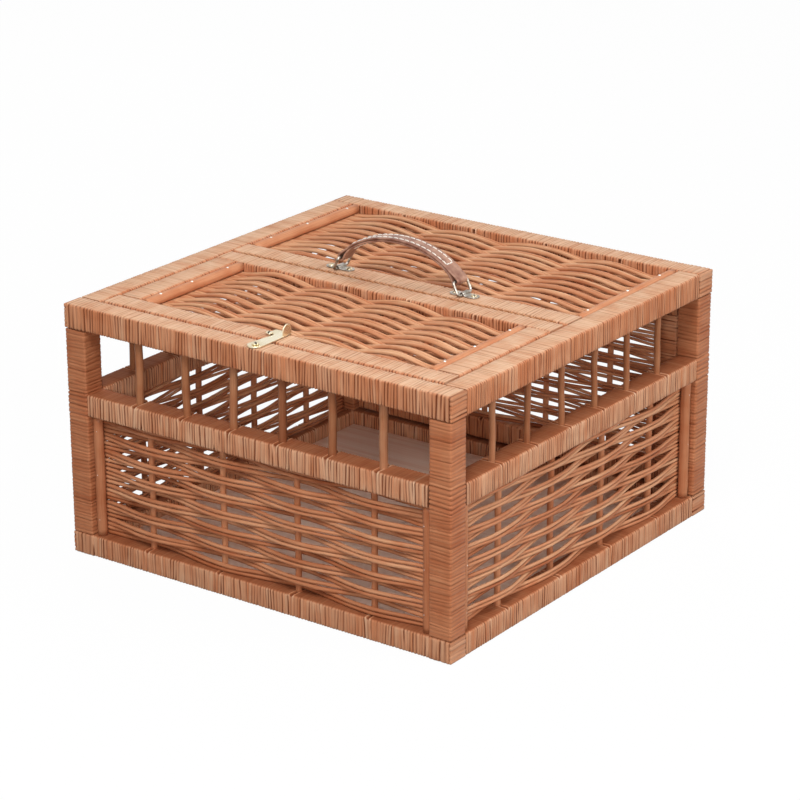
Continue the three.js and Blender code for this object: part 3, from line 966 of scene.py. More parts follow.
@dataclass
class WovenPanel:
    """A woven panel: upright stakes, pairs of rods that pass them on alternate sides, and end rods.

    Locally X runs along the rods, Y along the stakes, and +Z is the show side. The rows of basis are
    these directions in the basket.
    """

    node: str
    basis: Array
    seed: int
    stakes: int = 4
    stake: float = 7.0
    row_pitch: float = 8.75
    stake_end_share: float = 0.77
    end_rod: float = 11.0
    end_bite: float = 1.0
    stake_in: float = 4.0  # how far a stake runs into the rails
    rod_share: float = 0.505  # room for one rod of a pair, as a share of its row
    rod_girths: Pair = (0.82, 0.96)  # thickness of the rods, as a share of that room
    taper: float = 0.09  # from the middle of a rod to its end
    knots: int = 3  # in each rod
    knot: float = 0.1  # swelling at a knot, as a share of the radius
    knot_long: float = 3.5
    knot_dark: float = 1.2
    nails: int = 3  # in each end rod
    nail: float = 0.45  # radius of a nail's head
    nail_spread: float = 0.37  # from the middle to the outer nails, as a share of the height
    nail_stray: float = 0.04  # how far off they are, as a share of the height
    nail_inward: Pair = (0.2, 1.6)  # how far inside the end rod's middle
    nail_sunk: float = 0.25
    tone: float = 0.4  # mean lightness of the rods
    tone_spread: float = 0.17  # from rod to rod
    stake_tones: Pair = (0.1, 0.5)
    end_darker: Pair = (0.12, 0.32)  # how much darker the end rods are
    flank: float = 0.28  # painted shade on the rods where they lie against each other

    def __post_init__(self) -> None:
        """Takes the panel's size and middle from its solid."""
        low, high = box_of(self.node)
        spread = np.abs(self.basis @ (high - low))
        self.wide = float(spread[0]) + 2.0 * FIT
        self.tall = float(spread[1]) + 2.0 * FIT
        show = self.basis[2]
        front = np.where(show > 0, high, low) @ np.abs(show) * show.sum()
        depth = front - (self.end_rod - self.end_bite)
        self.centre = (low + high) / 2 * (1.0 - np.abs(show)) + depth * show
        pitch = self.wide / (self.stakes - 1 + 2.0 * self.stake_end_share)
        self.stake_x = (np.arange(self.stakes) - (self.stakes - 1) / 2) * pitch
        self.rod_x = self.wide / 2 - FIT - self.end_rod / 2
        self.rows = round(self.tall / self.row_pitch)
        self.weaver = self.rod_share * self.tall / self.rows

    def partings(self, along: Axis, side: Array) -> list[Parting]:
        """Gives the partings that the stakes make in a rail.

        Args:
            along: direction of the rail.
            side: outward direction of the face that they enter.

        Returns:
            One parting for each stake.
        """
        places = self.centre + self.stake_x[:, None] * self.basis[0]
        return [Parting(float(place[along.value]), side, self.stake / 2) for place in places]

    def uprights(self, rng: Rng) -> list[Surface]:
        """Makes the stakes, which run into the rails, and the end rods, which stop short of them.

        Args:
            rng: where their bends and tones come from.

        Returns:
            One surface for each stake and end rod.
        """
        parts = []
        half = self.tall / 2 + self.stake_in
        y = np.linspace(-half, half, 24)
        for x in self.stake_x:
            path = np.stack([x + wander(rng, y, *STAKE_BOW), y, wander(rng, y, *STAKE_SAG)], axis=1)
            radius = self.stake / 2 * (1.0 + wander(rng, y, *STAKE_GIRTH))
            tone = rng.uniform(*self.stake_tones)
            parts.append(round_bar(path, radius, 10, X, tone=tone, shift=rng.uniform(0.0, STRAND)))
        half = self.tall / 2 - FIT
        y = np.linspace(-half, half, 20)
        for x in (-self.rod_x, self.rod_x):
            depth = self.end_rod / 2 - self.end_bite + wander(rng, y, *END_SAG)
            path = np.stack([x + wander(rng, y, *END_BOW), y, depth], axis=1)
            radius = self.end_rod / 2 * (1.0 + wander(rng, y, *END_GIRTH))
            tone = self.tone - rng.uniform(*self.end_darker)
            parts.append(round_bar(path, radius, 14, X, tone=tone, shift=rng.uniform(0.0, STRAND)))
        return parts

    def weavers(self, rng: Rng) -> list[Surface]:
        """Makes the pairs of rods.

        A rod's depth goes from stake to stake as half a cosine wave, between the front and the back of
        the stakes. Its radius tapers from butt to tip, with a few swellings at the knots.

        Args:
            rng: where the rods' bends, tapers and tones come from.

        Returns:
            One surface for each rod.
        """
        offset = (self.stake + self.weaver) / 2
        knots_x = np.concatenate([[-self.rod_x], self.stake_x, [self.rod_x]])
        x = np.linspace(-self.rod_x, self.rod_x, 76)
        course = np.interp(x, knots_x, np.arange(len(knots_x)))
        before = np.minimum(course.astype(int), len(knots_x) - 2)
        ease = 0.5 - 0.5 * np.cos(np.pi * (course - before))
        parts = []
        for row in range(self.rows):
            sides = np.where((row + np.arange(self.stakes)) % 2, offset, -offset)
            knots_z = np.concatenate([[-self.weaver / 2], sides, [-self.weaver / 2]])
            depth = knots_z[before] + (knots_z[before + 1] - knots_z[before]) * ease
            y = (row + 0.5) * self.tall / self.rows - self.tall / 2
            for member in (-0.5, 0.5):
                rise = y + member * self.weaver + wander(rng, x, *ROD_BOW)
                path = np.stack([x, rise, depth + wander(rng, x, *ROD_SAG)], axis=1)
                taper = rng.uniform(-self.taper, self.taper) * x / self.rod_x
                at = rng.uniform(-self.rod_x, self.rod_x, self.knots)
                swell = self.knot * np.exp(-(((x[:, None] - at) / self.knot_long) ** 2)).sum(axis=1)
                radius = self.weaver / 2 * (rng.uniform(*self.rod_girths) + taper + swell)
                shade = rng.normal(self.tone, self.tone_spread) + wander(rng, x, *ROD_TONE)
                tone = np.clip(shade - self.knot_dark * swell, 0.0, 1.0)
                shift = rng.uniform(0.0, STRAND)
                parts.append(round_bar(path, radius, 9, Y, tone=tone, shift=shift, flank=self.flank))
        return parts

    def nail_heads(self, rng: Rng) -> list[Surface]:
        """Makes the small round nail heads that hold the end rods.

        Args:
            rng: where the nails' places vary.

        Returns:
            One surface for each head.
        """
        radii = self.nail * np.array([1.0, 1.0, 0.7, 0.2])
        dome = turned(radii, self.nail * np.array([-0.9, 0.2, 0.42, 0.5]), 10)
        heads = []
        for x in (-self.rod_x, self.rod_x):
            for share in np.linspace(-self.nail_spread, self.nail_spread, self.nails):
                y = (share + rng.uniform(-self.nail_stray, self.nail_stray)) * self.tall
                inward = -np.sign(x) * rng.uniform(*self.nail_inward)
                place = np.array([x + inward, y, self.end_rod - self.end_bite - self.nail_sunk])
                heads.append(dome.moved(np.eye(3), place))
        return heads

    def build(self) -> list[Piece]:
        """Builds the weave and its nails."""
        rng = np.random.default_rng(self.seed)
        weave = joined([*self.uprights(rng), *self.weavers(rng)]).moved(self.basis, self.centre)
        nails = joined(self.nail_heads(rng)).moved(self.basis, self.centre)
        return [
            Piece("rods_" + self.node, weave, ROD, (self.node,)),
            Piece("nails_" + self.node, nails, NAIL, body=BODY_OF[self.node], slot="nickel"),
        ]


TOP_BASIS = np.array([X, Y, Z])
FRONT_BASIS = np.array([X, Z, -Y])
LEFT_BASIS = np.array([-Y, Z, -X])
RIGHT_BASIS = np.array([Y, Z, X])
BACK_BASIS = np.array([-X, Z, Y])


class Panels:
    """The six woven panels."""

    def __init__(self) -> None:
        """Sets up each panel on its solid."""
        self.front = WovenPanel("woven_wall_front", FRONT_BASIS, 11, row_pitch=9.8)
        self.left = WovenPanel("woven_wall_left", LEFT_BASIS, 12)
        # Painted light: right wall rods paler for light from the right, top panels' for light from above
        self.right = WovenPanel("woven_wall_right", RIGHT_BASIS, 13, tone=0.55)
        self.top = WovenPanel("woven_top_rear", TOP_BASIS, 14, nail=1.5, tone=0.7)
        self.lid = WovenPanel("woven_lid", TOP_BASIS, 15, nail=1.5, tone=0.7)
        self.door = WovenPanel("woven_door", BACK_BASIS, 16)

    def build(self) -> list[Piece]:
        """Builds all the panels' pieces."""
        panels = (self.front, self.left, self.right, self.top, self.lid, self.door)
        return [piece for panel in panels for piece in panel.build()]


# The frame

# How each kind of bar differs from a plain bound bar; dark and band_dark set the shade painted in grooves
POST_LOOK = {"turn": 4.0, "depth": 0.5, "tone": 0.26, "dark": 0.2, "band_dark": 0.3, "stain_and_shade": 0.5}
# Upper faces of the middle and bottom rails: flatter, and painted darker for the shade that falls on them
SHADED_UPPER_FACE = {"flat_share": 0.75, "upper_face_lighting": -0.4, "upper_face_shade": 0.5}
BASE_LOOK = {"tone": 0.66, "dark": 0.3, "band_dark": 0.2, "band_depth": 0.4, **SHADED_UPPER_FACE}
SILL_LOOK = {"tone": 0.72, "dark": 0.5, "depth": 1.2, **SHADED_UPPER_FACE}
# Upper faces of the top rails and the crossbar are painted paler for light from above, the crossbar's
# most
TOP_LOOK = {"tone": 0.56, "dark": 0.65, "depth": 1.4, "band_dark": 0.5, "upper_face_lighting": 0.42}
CROSSBAR_LOOK = {**TOP_LOOK, "upper_face_lighting": 0.85}
TOP_LEFT_LOOK = {**TOP_LOOK, "dark": 0.4}
TOP_RIGHT_LOOK = {**TOP_LOOK, "dark": 0.5}
PAD_LOOK = {"turn": 4.7, "depth": 0.5, "tone": 0.6, "dark": 0.2, "lean": 0.2}
# Upper faces of the lid rails are painted paler for light from above
LID_LOOK = {"tone": 0.56, "dark": 0.6, "depth": 1.3, "upper_face_lighting": 0.42}
LID_SIDE_LOOK = {**LID_LOOK, "dark": 0.15}
DOOR_LOOK = {"depth": 0.8}


@dataclass
class BasketFrame:
    """Posts, rails and crossbar, bound turn by turn, and the spindles in the windows."""

    panels: Panels
    post: float = 28.0
    spindles: int = 6
    spindle_front: float = 9.0
    spindle_side: float = 7.0
    spindle_in: float = 4.0  # how far a spindle runs into the rails
    spindle_girth: float = 0.97  # thickness of a spindle, as a share of its solid
    spindle_tone: Pair = (0.45, 0.15)  # mean and spread
    knot: float = 0.08  # swelling at a knot, as a share of the radius
    knot_long: float = 4.0
    knot_dark: float = 1.5
    end_pad: float = 3.0  # strips over the end faces of the full-width rails
    pad_inset: float = 0.6

    def spindle_partings(self, side: str, along: Axis) -> list[Parting]:
        """Gives the partings that one window's spindles make in the upper face of a middle rail.

        Args:
            side: front, left or right.
            along: direction of the rail.

        Returns:
            One parting for each spindle.
        """
        radius = (self.spindle_front if side == "front" else self.spindle_side) / 2
        boxes = [box_of(f"spindle_{side}_{i + 1}") for i in range(self.spindles)]
        return [Parting(float((low + high)[along.value] / 2), Z, radius) for low, high in boxes]

    def full_rail(self, node: str, seed: int, **settings: object) -> Piece:
        """Makes a rail that runs the full width, with upright strips over its two end faces.

        Args:
            node: the rail's solid.
            seed: for its unevenness.
            **settings: other fields of its bound bar.

        Returns:
            The piece.
        """
        low, high = box_of(node)
        inset = (self.end_pad - FIT) * X
        inner = float(high[0]) - self.post
        ends = [(float((low + inset)[0]), -inner), (inner, float((high - inset)[0]))]
        parts = [BoundBar(low + inset, high - inset, Axis.X, seed, bands=ends, **settings).surface()]
        drawn = self.pad_inset * (Y + Z)
        for side in (0, 1):
            pad = end_of(low + drawn, high - drawn, 0, side, self.end_pad)
            parts.append(BoundBar(*pad, Axis.Z, seed + 50 + side, **PAD_LOOK).surface())
        return Piece("bound_" + node, joined(parts), BINDING, (node,))

    def rails(self) -> list[Piece]:
        """Builds the posts, rails and crossbar, parted where stakes and spindles enter them.

        Returns:
            The pieces.
        """
        panels = self.panels
        low, high = box_of("mid_rail_left")
        lashing = [(float(low[2]), float(high[2]))]
        foot = panels.front.partings(Axis.X, Z)
        sill = panels.front.partings(Axis.X, -Z) + self.spindle_partings("front", Axis.X)
        top_back = panels.top.partings(Axis.X, -Y)
        top_front = panels.top.partings(Axis.X, Y)
        pieces = []
        for i, corner in enumerate(("front_left", "front_right", "back_left", "back_right")):
            pieces.append(bound_bar("post_" + corner, Axis.Z, 20 + i, bands=lashing, **POST_LOOK))
        pieces += [
            self.full_rail("bottom_rail_front", 30, partings=foot, **BASE_LOOK),
            self.full_rail("bottom_rail_back", 31, **BASE_LOOK),
            self.full_rail("top_rail_front", 32, **TOP_LOOK),
            self.full_rail("top_rail_back", 33, partings=top_back, **TOP_LOOK),
            bound_bar("mid_rail_front", Axis.X, 34, partings=sill, **SILL_LOOK),
        ]
        sides = (("left", panels.left, TOP_LEFT_LOOK), ("right", panels.right, TOP_RIGHT_LOOK))
        for i, (side, panel, look) in enumerate(sides):
            foot = panel.partings(Axis.Y, Z)
            sill = panel.partings(Axis.Y, -Z) + self.spindle_partings(side, Axis.Y)
            pieces.append(bound_bar("bottom_rail_" + side, Axis.Y, 40 + i, partings=foot, **BASE_LOOK))
            pieces.append(bound_bar("mid_rail_" + side, Axis.Y, 42 + i, partings=sill, **SILL_LOOK))
            pieces.append(bound_bar("top_rail_" + side, Axis.Y, 44 + i, **look))
        pieces.append(bound_bar("crossbar", Axis.X, 46, partings=top_front, **CROSSBAR_LOOK))
        return pieces

    def window_spindles(self) -> list[Piece]:
        """Builds the upright spindles: round rods, slightly bent, let into the rails.

        Returns:
            The pieces.
        """
        pieces = []
        rng = np.random.default_rng(60)
        for side, diameter in (
            ("front", self.spindle_front),
            ("left", self.spindle_side),
            ("right", self.spindle_side),
        ):
            for i in range(self.spindles):
                node = f"spindle_{side}_{i + 1}"
                low, high = box_of(node)
                z = np.linspace(low[2] - self.spindle_in, high[2] + self.spindle_in, 22)
                middle = (low + high) / 2
                bent_x = middle[0] + wander(rng, z, *SPINDLE_BOW)
                bent_y = middle[1] + wander(rng, z, *SPINDLE_BOW)
                knot_z = rng.uniform(z[0], z[-1])
                knot = self.knot * np.exp(-(((z - knot_z) / self.knot_long) ** 2))
                radius = diameter / 2 * (self.spindle_girth + wander(rng, z, *SPINDLE_GIRTH) + knot)
                tone = np.clip(rng.normal(*self.spindle_tone) - self.knot_dark * knot, 0.0, 1.0)
                path = np.stack([bent_x, bent_y, z], axis=1)
                rod = round_bar(path, radius, 12, X, tone=tone, shift=rng.uniform(0.0, STRAND))
                pieces.append(Piece("rod_" + node, rod, SPINDLE, (node,)))
        return pieces

    def build(self) -> list[Piece]:
        """Builds the frame's pieces."""
        return [*self.rails(), *self.window_spindles()]


@dataclass
class FloorBoard:
    """The plywood floor: a thin board with slightly eased edges."""

    ease: float = 1.0
    end_ease: float = 0.4  # as a share of the ease

    def build(self) -> list[Piece]:
        """Builds the board: a rounded rectangle carried along X.

        Returns:
            The board.
        """
        low, high = box_of("floor_board")
        size = high - low
        section, _ = rounded_section(size[1], size[2], self.ease, 2, 12)
        x = np.array([low[0], low[0] + self.ease, high[0] - self.ease, high[0]])
        drawn = np.array([self.ease, 0.0, 0.0, self.ease])[:, None] * self.end_ease
        across = section[:, 0] - drawn * np.sign(section[:, 0])
        rise = section[:, 1] - drawn * np.sign(section[:, 1])
        board = sweep(middle_line(low, high, X, x), Y, Z, across, rise)
        return [Piece("plywood_floor_board", board, BOARD, ("floor_board",))]


# Lid and door


def twisted_lacing(node: str, strands: int = 3, lay: float = 9.0, furrow: float = 0.1) -> Piece:
    """Makes a hinge lacing: willow strands twisted together along the seam.

    The radius swells and falls round the lacing once for each strand, and the pattern moves on by one
    strand in each lay along X.

    Args:
        node: the lacing's solid.
        strands: number of strands.
        lay: length in which the twist moves on by one strand.
        furrow: how far the radius swells and falls, as a share of it.

    Returns:
        The piece.
    """
    low, high = box_of(node)
    x = np.arange(low[0], high[0], lay / 6.0)
    angle = np.arange(12) * 2.0 * np.pi / 12
    twist = 2.0 * np.pi * x[:, None] / lay
    ripple = np.cos(strands * (angle - twist / strands))
    reach = (high - low)[2] / 2 * (1.0 - furrow + furrow * ripple)
    tone = np.clip(0.5 + wander(np.random.default_rng(70), x, *LACING_TONE), 0.0, 1.0)
    lacing = sweep(
        middle_line(low, high, X, x),
        Y,
        Z,
        reach * np.cos(angle),
        reach * np.sin(angle),
        tone=tone[:, None],
        # painted shade in the furrows between strands
        groove=0.5 - 0.5 * ripple,
    )
    return Piece("twist_" + node, lacing, LACING, (node,))


@dataclass
class Lid:
    """The lid's four bound rails, the rod it rests on and its hinge lacing."""

    panel: WovenPanel
    rest_corner: float = 1.5

    def rest_rod(self) -> Piece:
        """Makes the rod under the front rail, a rounded square that swells a little along X."""
        low, high = box_of("lid_rest_rod")
        x = np.linspace(low[0], high[0], 40)
        section, _ = rounded_section(high[1] - low[1], high[2] - low[2], self.rest_corner, 3, 2)
        swell = 1.0 + wander(np.random.default_rng(84), x, *REST_GIRTH)[:, None]
        rod = sweep(middle_line(low, high, X, x), Y, Z, section[:, 0] * swell, section[:, 1] * swell)
        return Piece("rod_lid_rest_rod", rod, ROD, ("lid_rest_rod",))

    def build(self) -> list[Piece]:
        """Builds the lid's rails, parted at the stakes, the rest rod and the lacing."""
        front = self.panel.partings(Axis.X, Y)
        back = self.panel.partings(Axis.X, -Y)
        return [
            bound_bar("lid_rail_front", Axis.X, 80, partings=front, **LID_LOOK),
            bound_bar("lid_rail_back", Axis.X, 81, partings=back, **LID_LOOK),
            bound_bar("lid_rail_left", Axis.Y, 82, **LID_SIDE_LOOK),
            bound_bar("lid_rail_right", Axis.Y, 83, **LID_SIDE_LOOK),
            self.rest_rod(),
            twisted_lacing("lid_hinge_lacing"),
        ]


@dataclass
class Door:
    """The back door's bound frame and its hinge lacing."""

    panel: WovenPanel
    rail: float = 25.0

    def build(self) -> list[Piece]:
        """Builds two full-width rails with two stiles between them, and the lacing.

        Returns:
            The pieces.
        """
        low, high = box_of("door_frame")
        parts = []
        for level, face in enumerate((Z, -Z)):
            rail = end_of(low, high, 2, level, self.rail)
            partings = self.panel.partings(Axis.X, face)
            parts.append(BoundBar(*rail, Axis.X, 90 + level, partings=partings, **DOOR_LOOK).surface())
        for side in (0, 1):
            stile = end_of(low + self.rail * Z, high - self.rail * Z, 0, side, self.rail)
            parts.append(BoundBar(*stile, Axis.Z, 92 + side, **DOOR_LOOK).surface())
        door = Piece("bound_door_frame", joined(parts), BINDING, ("door_frame",))
        return [door, twisted_lacing("door_hinge_lacing")]


# Hooks, screws and handle


def slotted_head(diameter: float, tall: float, slot: float, deep: float) -> Surface:
    """A low domed screw head on z = 0, with a slot along X.

    The profile across the slot, from side wall over the dome with a square notch in the middle, is
    carried along X. Its half width is the circle's, the square root of radius squared less x squared,
    and the dome falls with the square root of one less the squared distance from the middle.

    Args:
        diameter: of the head.
        tall: of the dome.
        slot: width of the slot.
        deep: depth of the slot.

    Returns:
        The surface.
    """
    radius = diameter / 2
    last = np.radians(82.0)  # where the first and last profiles stand, short of the rim's ends
    x = radius * np.sin(np.linspace(-1.0, 1.0, 17) * last)
    half = np.sqrt(radius**2 - x**2)[:, None]
    notch = np.minimum(slot / 2, 0.9 * half)  # the slot narrows where the head does
    share = np.array([1.0, 1.0, 0.86, 0.6, 0.35])
    right = notch + (half - notch) * share
    right = np.concatenate([right, notch, notch], axis=1)
    squared = (x[:, None] ** 2 + right**2) / radius**2
    wall = 0.35  # share of the height that is side wall
    brim = 1.02  # over one, so that the dome still slopes where it meets the wall
    height = wall * tall + (1.0 - wall) * tall * np.sqrt(np.clip(brim - squared, 0.0, 1.0))
    height[:, 0] = 0.0
    height[:, -1] = height[:, -2] - deep
    across = np.concatenate([right, -right[:, ::-1]], axis=1)
    rise = np.concatenate([height, height[:, ::-1]], axis=1)
    # Painted shade at the bottom of the slot
    slot_shade = np.zeros(across.shape[1])
    slot_shade[5:9] = (0.6, 1.0, 1.0, 0.6)
    return sweep(x[:, None] * X, Y, Z, across, rise, groove=slot_shade)


def turned_basis(basis: Array, degrees: float) -> Array:
    """Turns a basis about its third direction."""
    turn = np.radians(degrees)
    ahead = np.cos(turn) * basis[0] + np.sin(turn) * basis[1]
    return np.array([ahead, np.cross(basis[2], ahead), basis[2]])


@dataclass
class TurningHook:
    """A flat brass turning hook with its pivot screw and the stud that its slot takes.

    Locally the pivot is the origin, the arm lies along +Y and +Z stands off the surface.
    """

    name: str  # of the hook's solid
    basis: Array
    surface_node: str  # the rail that carries it
    wide: float = 17.0
    head_reach: float = 2.5  # how far the head reaches to the left, past the stud's middle
    neck: float = 3.3  # how far the arm reaches to the left of the pivot, beside the stud
    thick: float = 1.5
    tail: float = 14.0
    side: float = 9.5  # pivot to the right of the stud
    tab_long: float = 14.0
    tab_tall: float = 13.0
    screw: float = 4.0
    head: float = 8.0
    head_tall: float = 2.0
    slot: float = 1.5
    slot_deep: float = 1.0
    screw_turn: float = -40.0  # degrees, of the slots
    stud_turn: float = -70.0
    notch_slack: float = 0.8
    knee: float = 2.0  # outer radius of the tab's bend
    tab_root: float = 5.0  # from the arm's edge to where the tab starts
    bevel: float = 0.2
    corner: float = 1.0  # cut off the end's right corner
    tip_corner: float = 1.2  # cut off the head's tip
    step: float = 0.8  # cut off between the notch and the neck
    tab_blunt: float = 0.12  # radians by which the tab's round top stops short of a point
    screw_in: float = 1.0  # how far a screw's neck runs into the rail
    screw_lap: float = 0.2  # how far it runs into its head

    def __post_init__(self) -> None:
        """Takes the pivot and the reach from the screw's and the stud's solids."""
        low, high = box_of(self.name + "_screw")
        stud_low, stud_high = box_of(self.name + "_stud")
        out = self.basis[2]
        _, rail_high = box_of(self.surface_node)
        self.pivot = (low + high) / 2 * (1.0 - out) + (rail_high @ out) * out
        self.stud = (stud_low + stud_high) / 2 * (1.0 - out) + (rail_high @ out) * out
        self.reach = float(self.basis[1] @ (self.stud - self.pivot))

    def outline(self) -> Array:
        """Draws the arm: round at the pivot, straight on the right, its head reaching round the stud.

        The head's lower edge is an arc about the pivot, outside the stud's way. It runs into part of a
        circle round the stud, and a short step leads on to the arm's straight left edge.

        Returns:
            Points counterclockwise.
        """
        half = self.wide / 2
        end = self.reach + self.tail
        tip = -self.side - self.head_reach
        notch = self.screw / 2 + self.notch_slack
        stud = np.array([-self.side, self.reach])
        outer = float(np.linalg.norm(stud)) + notch
        at_stud = float(np.arctan2(self.reach, -self.side))
        at_tip = float(np.arctan2(np.sqrt(outer**2 - tip**2), tip))
        return np.concatenate(
            [
                [[half, end - self.corner], [half - self.corner, end]],
                [[tip + self.tip_corner, end], [tip, end - self.tip_corner]],
                arc(outer, at_tip, at_stud, 4),
                stud + arc(notch, at_stud, 0.0, 8)[1:],
                [[-self.neck - self.step, self.reach], [-self.neck, self.reach - self.step]],
                arc(half, np.pi, 2.0 * np.pi, 16),
            ]
        )

    def arm_and_tab(self) -> Surface:
        """Makes the flat arm and the thumb tab that is bent up from its right edge.

        The tab is a strip that leaves the arm flat, turns up through a quarter circle and stands
        straight, and its half width closes as a half circle at the top.

        Returns:
            The surface.
        """
        arm = flat_plate(self.outline(), self.thick, self.bevel)
        half = self.wide / 2
        turn = np.linspace(-np.pi / 2, 0.0, 6)
        knee_x = half - self.knee + (self.knee - self.thick / 2) * np.cos(turn)
        knee_z = self.knee + (self.knee - self.thick / 2) * np.sin(turn)
        round_top = self.tab_long / 2
        rise = np.sin(np.linspace(0.0, np.pi / 2 - self.tab_blunt, 9))
        top_z = self.tab_tall - round_top + round_top * rise
        x = np.concatenate([[half - self.tab_root], knee_x, np.full_like(rise, half - self.thick / 2)])
        y = np.full_like(x, self.reach + self.tail - round_top - self.bevel)
        z = np.concatenate([[self.thick / 2], knee_z, top_z])
        even = np.full(1 + len(turn), round_top)
        narrow = np.concatenate([even, round_top * np.sqrt(1.0 - rise**2)])
        tab = strip(np.stack([x, y, z], axis=1), Y, narrow, self.thick)
        return joined([arm, tab])

    def screw_part(self) -> Surface:
        """Makes a slotted head that stands over the arm, on a plain neck."""
        under = self.thick + 2.0 * FIT
        neck = turned([self.screw / 2] * 2, [-self.screw_in, under + self.screw_lap], 16)
        head = slotted_head(self.head, self.head_tall, self.slot, self.slot_deep)
        return joined([neck, head.moved(np.eye(3), under * Z)])

    def build(self) -> list[Piece]:
        """Builds the hook, its pivot screw and its stud.

        Returns:
            The pieces.
        """
        hook = self.arm_and_tab().moved(self.basis, self.pivot + FIT * self.basis[2])
        pieces = [Piece("brass_" + self.name, hook, BRASS, (self.name,))]
        for node, place, degrees in (
            (self.name + "_screw", self.pivot, self.screw_turn),
            (self.name + "_stud", self.stud, self.stud_turn),
        ):
            screw = self.screw_part().moved(turned_basis(self.basis, degrees), place)
            pieces.append(Piece("brass_" + node, screw, BRASS, (node,)))
        return pieces


@dataclass
class Handle:
    """The carrying handle: a doubled, stitched leather strap between two wire rings on bridge plates."""

    wire: float = 3.0
    ring_tall: float = 16.0
    ring_corner: float = 3.5
    ring_lean: float = 25.0
    strap_wide: float = 20.0
    strap_rise: float = 31.0
    strap_shoulder: float = 8.0
    strap_side: float = 1.0
    layer: float = 2.4  # thickness of one layer of leather
    layer_gap: float = 0.2
    eye: float = 3.3  # from the wire's axis to the middle of the leather
    eye_fade: float = 0.055  # share of the strap's span in which its layers close up
    waist: float = 0.9  # how much narrower each edge is at the rings
    waist_long: float = 9.0
    plate_wide: float = 12.0
    plate_thick: float = 1.2
    plate_screw_inset: float = 6.0
    plate_screw: float = 7.0
    plate_screw_tall: float = 1.6
    plate_screw_sunk: float = 0.1
    plate_slot: float = 0.9
    plate_slot_deep: float = 0.6
    plate_slot_turns: tuple[float, float, float, float] = (25.0, 95.0, 65.0, 135.0)  # degrees
    plate_end: float = 8.0  # from a plate's end to its full width
    plate_blunt: float = 0.15  # radians by which its round end stops short of a point
    bridge_foot: float = 2.2  # from a plate's flat to its bridge
    bridge_fillet: float = 0.6
    stitch: float = 5.2
    stitch_pitch: float = 7.0
    stitch_inset: float = 4.6
    stitch_end: float = 20.0  # from a ring to the end of the stitching
    cross_stitch: float = 0.8  # length of the stitches across, as a share of the others
    thread: float = 0.75  # radius

    def __post_init__(self) -> None:
        """Takes the plates' places from their solids and works out the strap's ellipse."""
        lows, highs = zip(*(box_of("handle_plate_" + side) for side in ("left", "right")))
        self.plate_long = float(highs[0][0] - lows[0][0])
        self.feet = [(low + high) / 2 * (X + Y) + low * Z for low, high in zip(lows, highs)]
        lean = np.radians(self.ring_lean)
        self.top_in = self.ring_tall * float(np.sin(lean))
        self.top_up = self.wire / 2 + self.ring_tall * float(np.cos(lean))
        self.half_span = float(self.feet[1][0] - self.feet[0][0]) / 2 - self.top_in
        self.a = self.half_span + self.strap_shoulder
        self.start = float(np.arccos(self.half_span / self.a))
        self.b = self.strap_rise / (1.0 - float(np.sin(self.start)))
        self.origin = (self.feet[0] + self.feet[1]) / 2 + self.top_up * Z

    def arch(self, t: Array, offset: Array | float) -> Array:
        """Points on the strap's ellipse, moved out along its normal.

        Args:
            t: the ellipse's angle, from the right end to the left.
            offset: distance out from the middle line.

        Returns:
            Points in the basket.
        """
        normal = unit(np.stack([np.cos(t) / self.a, np.zeros_like(t), np.sin(t) / self.b], axis=-1))
        drop = self.b * np.sin(self.start)
        line = np.stack([self.a * np.cos(t), np.zeros_like(t), self.b * np.sin(t) - drop], axis=-1)
        return self.origin + line + normal * np.broadcast_to(offset, t.shape)[..., None]

    def spread(self, t: Array) -> Array:
        """Gives the distance of a layer from the strap's middle line, which opens round the rings."""
        span = np.pi - 2.0 * self.start
        near = np.minimum(t - self.start, np.pi - self.start - t) / span
        close = (self.layer + self.layer_gap) / 2
        return close + (self.eye - close) * np.exp(-((near / self.eye_fade) ** 2))

    def leather(self) -> Surface:
        """Makes the strap as one loop: over the top, round a ring, back below and round the other.

        Returns:
            The surface.
        """
        t = np.linspace(np.pi - self.start, self.start, 72)
        over = self.arch(t, self.spread(t))
        under = self.arch(t[::-1], -self.spread(t[::-1]))
        turn = np.linspace(0.0, np.pi, 13)[1:-1, None]
        ends = []
        for near, far in ((over[-1], under[0]), (under[-1], over[0])):
            out = (near - far) / 2
            ends.append((near + far) / 2 + np.cos(turn) * out + np.sin(turn) * np.cross(Y, out))
        path = np.concatenate([over, ends[0], under, ends[1]])
        from_end = self.half_span + self.eye - np.abs(path[:, 0] - self.origin[0])
        half = self.strap_wide / 2 - self.waist * np.exp(-((from_end / self.waist_long) ** 2))
        return strip(path, Y, half, self.layer, closed=True)

    def stitches(self) -> Surface:
        """Makes the stitches: round threads in two rows on each face, with cross stitches at the ends.

        Returns:
            The surface.
        """
        fine = np.linspace(self.start, np.pi - self.start, 400)
        line = self.arch(fine, 0.0)
        length = lengths(line)
        ease = np.array([-0.5, -0.42, -0.2, 0.0, 0.2, 0.42, 0.5])  # shares of a stitch's length
        dip = np.array([-0.5, -0.1, 0.12, 0.18, 0.12, -0.1, -0.5])  # off the leather's face
        row = self.strap_wide / 2 - self.stitch_inset
        stitched = length[-1] - 2.0 * self.stitch_end
        count = round(stitched / self.stitch_pitch)
        places = self.stitch_end + (np.arange(count) + 0.5) * stitched / count
        still = np.zeros_like(ease)
        runs = [(place + self.stitch * ease, y + still, Y) for y in (-row, row) for place in places]
        for place in (self.stitch_end, length[-1] - self.stitch_end):
            for y in (-row / 2, row / 2):
                runs.append((place + still, y + self.cross_stitch * self.stitch * ease, Z))
        parts = []
        for face in (1.0, -1.0):
            for along, across, over in runs:
                t = np.interp(along, length, fine)
                path = self.arch(t, face * (self.spread(t) + self.layer / 2 + dip))
                parts.append(round_bar(path + across[:, None] * Y, self.thread, 6, over))
        return joined(parts)

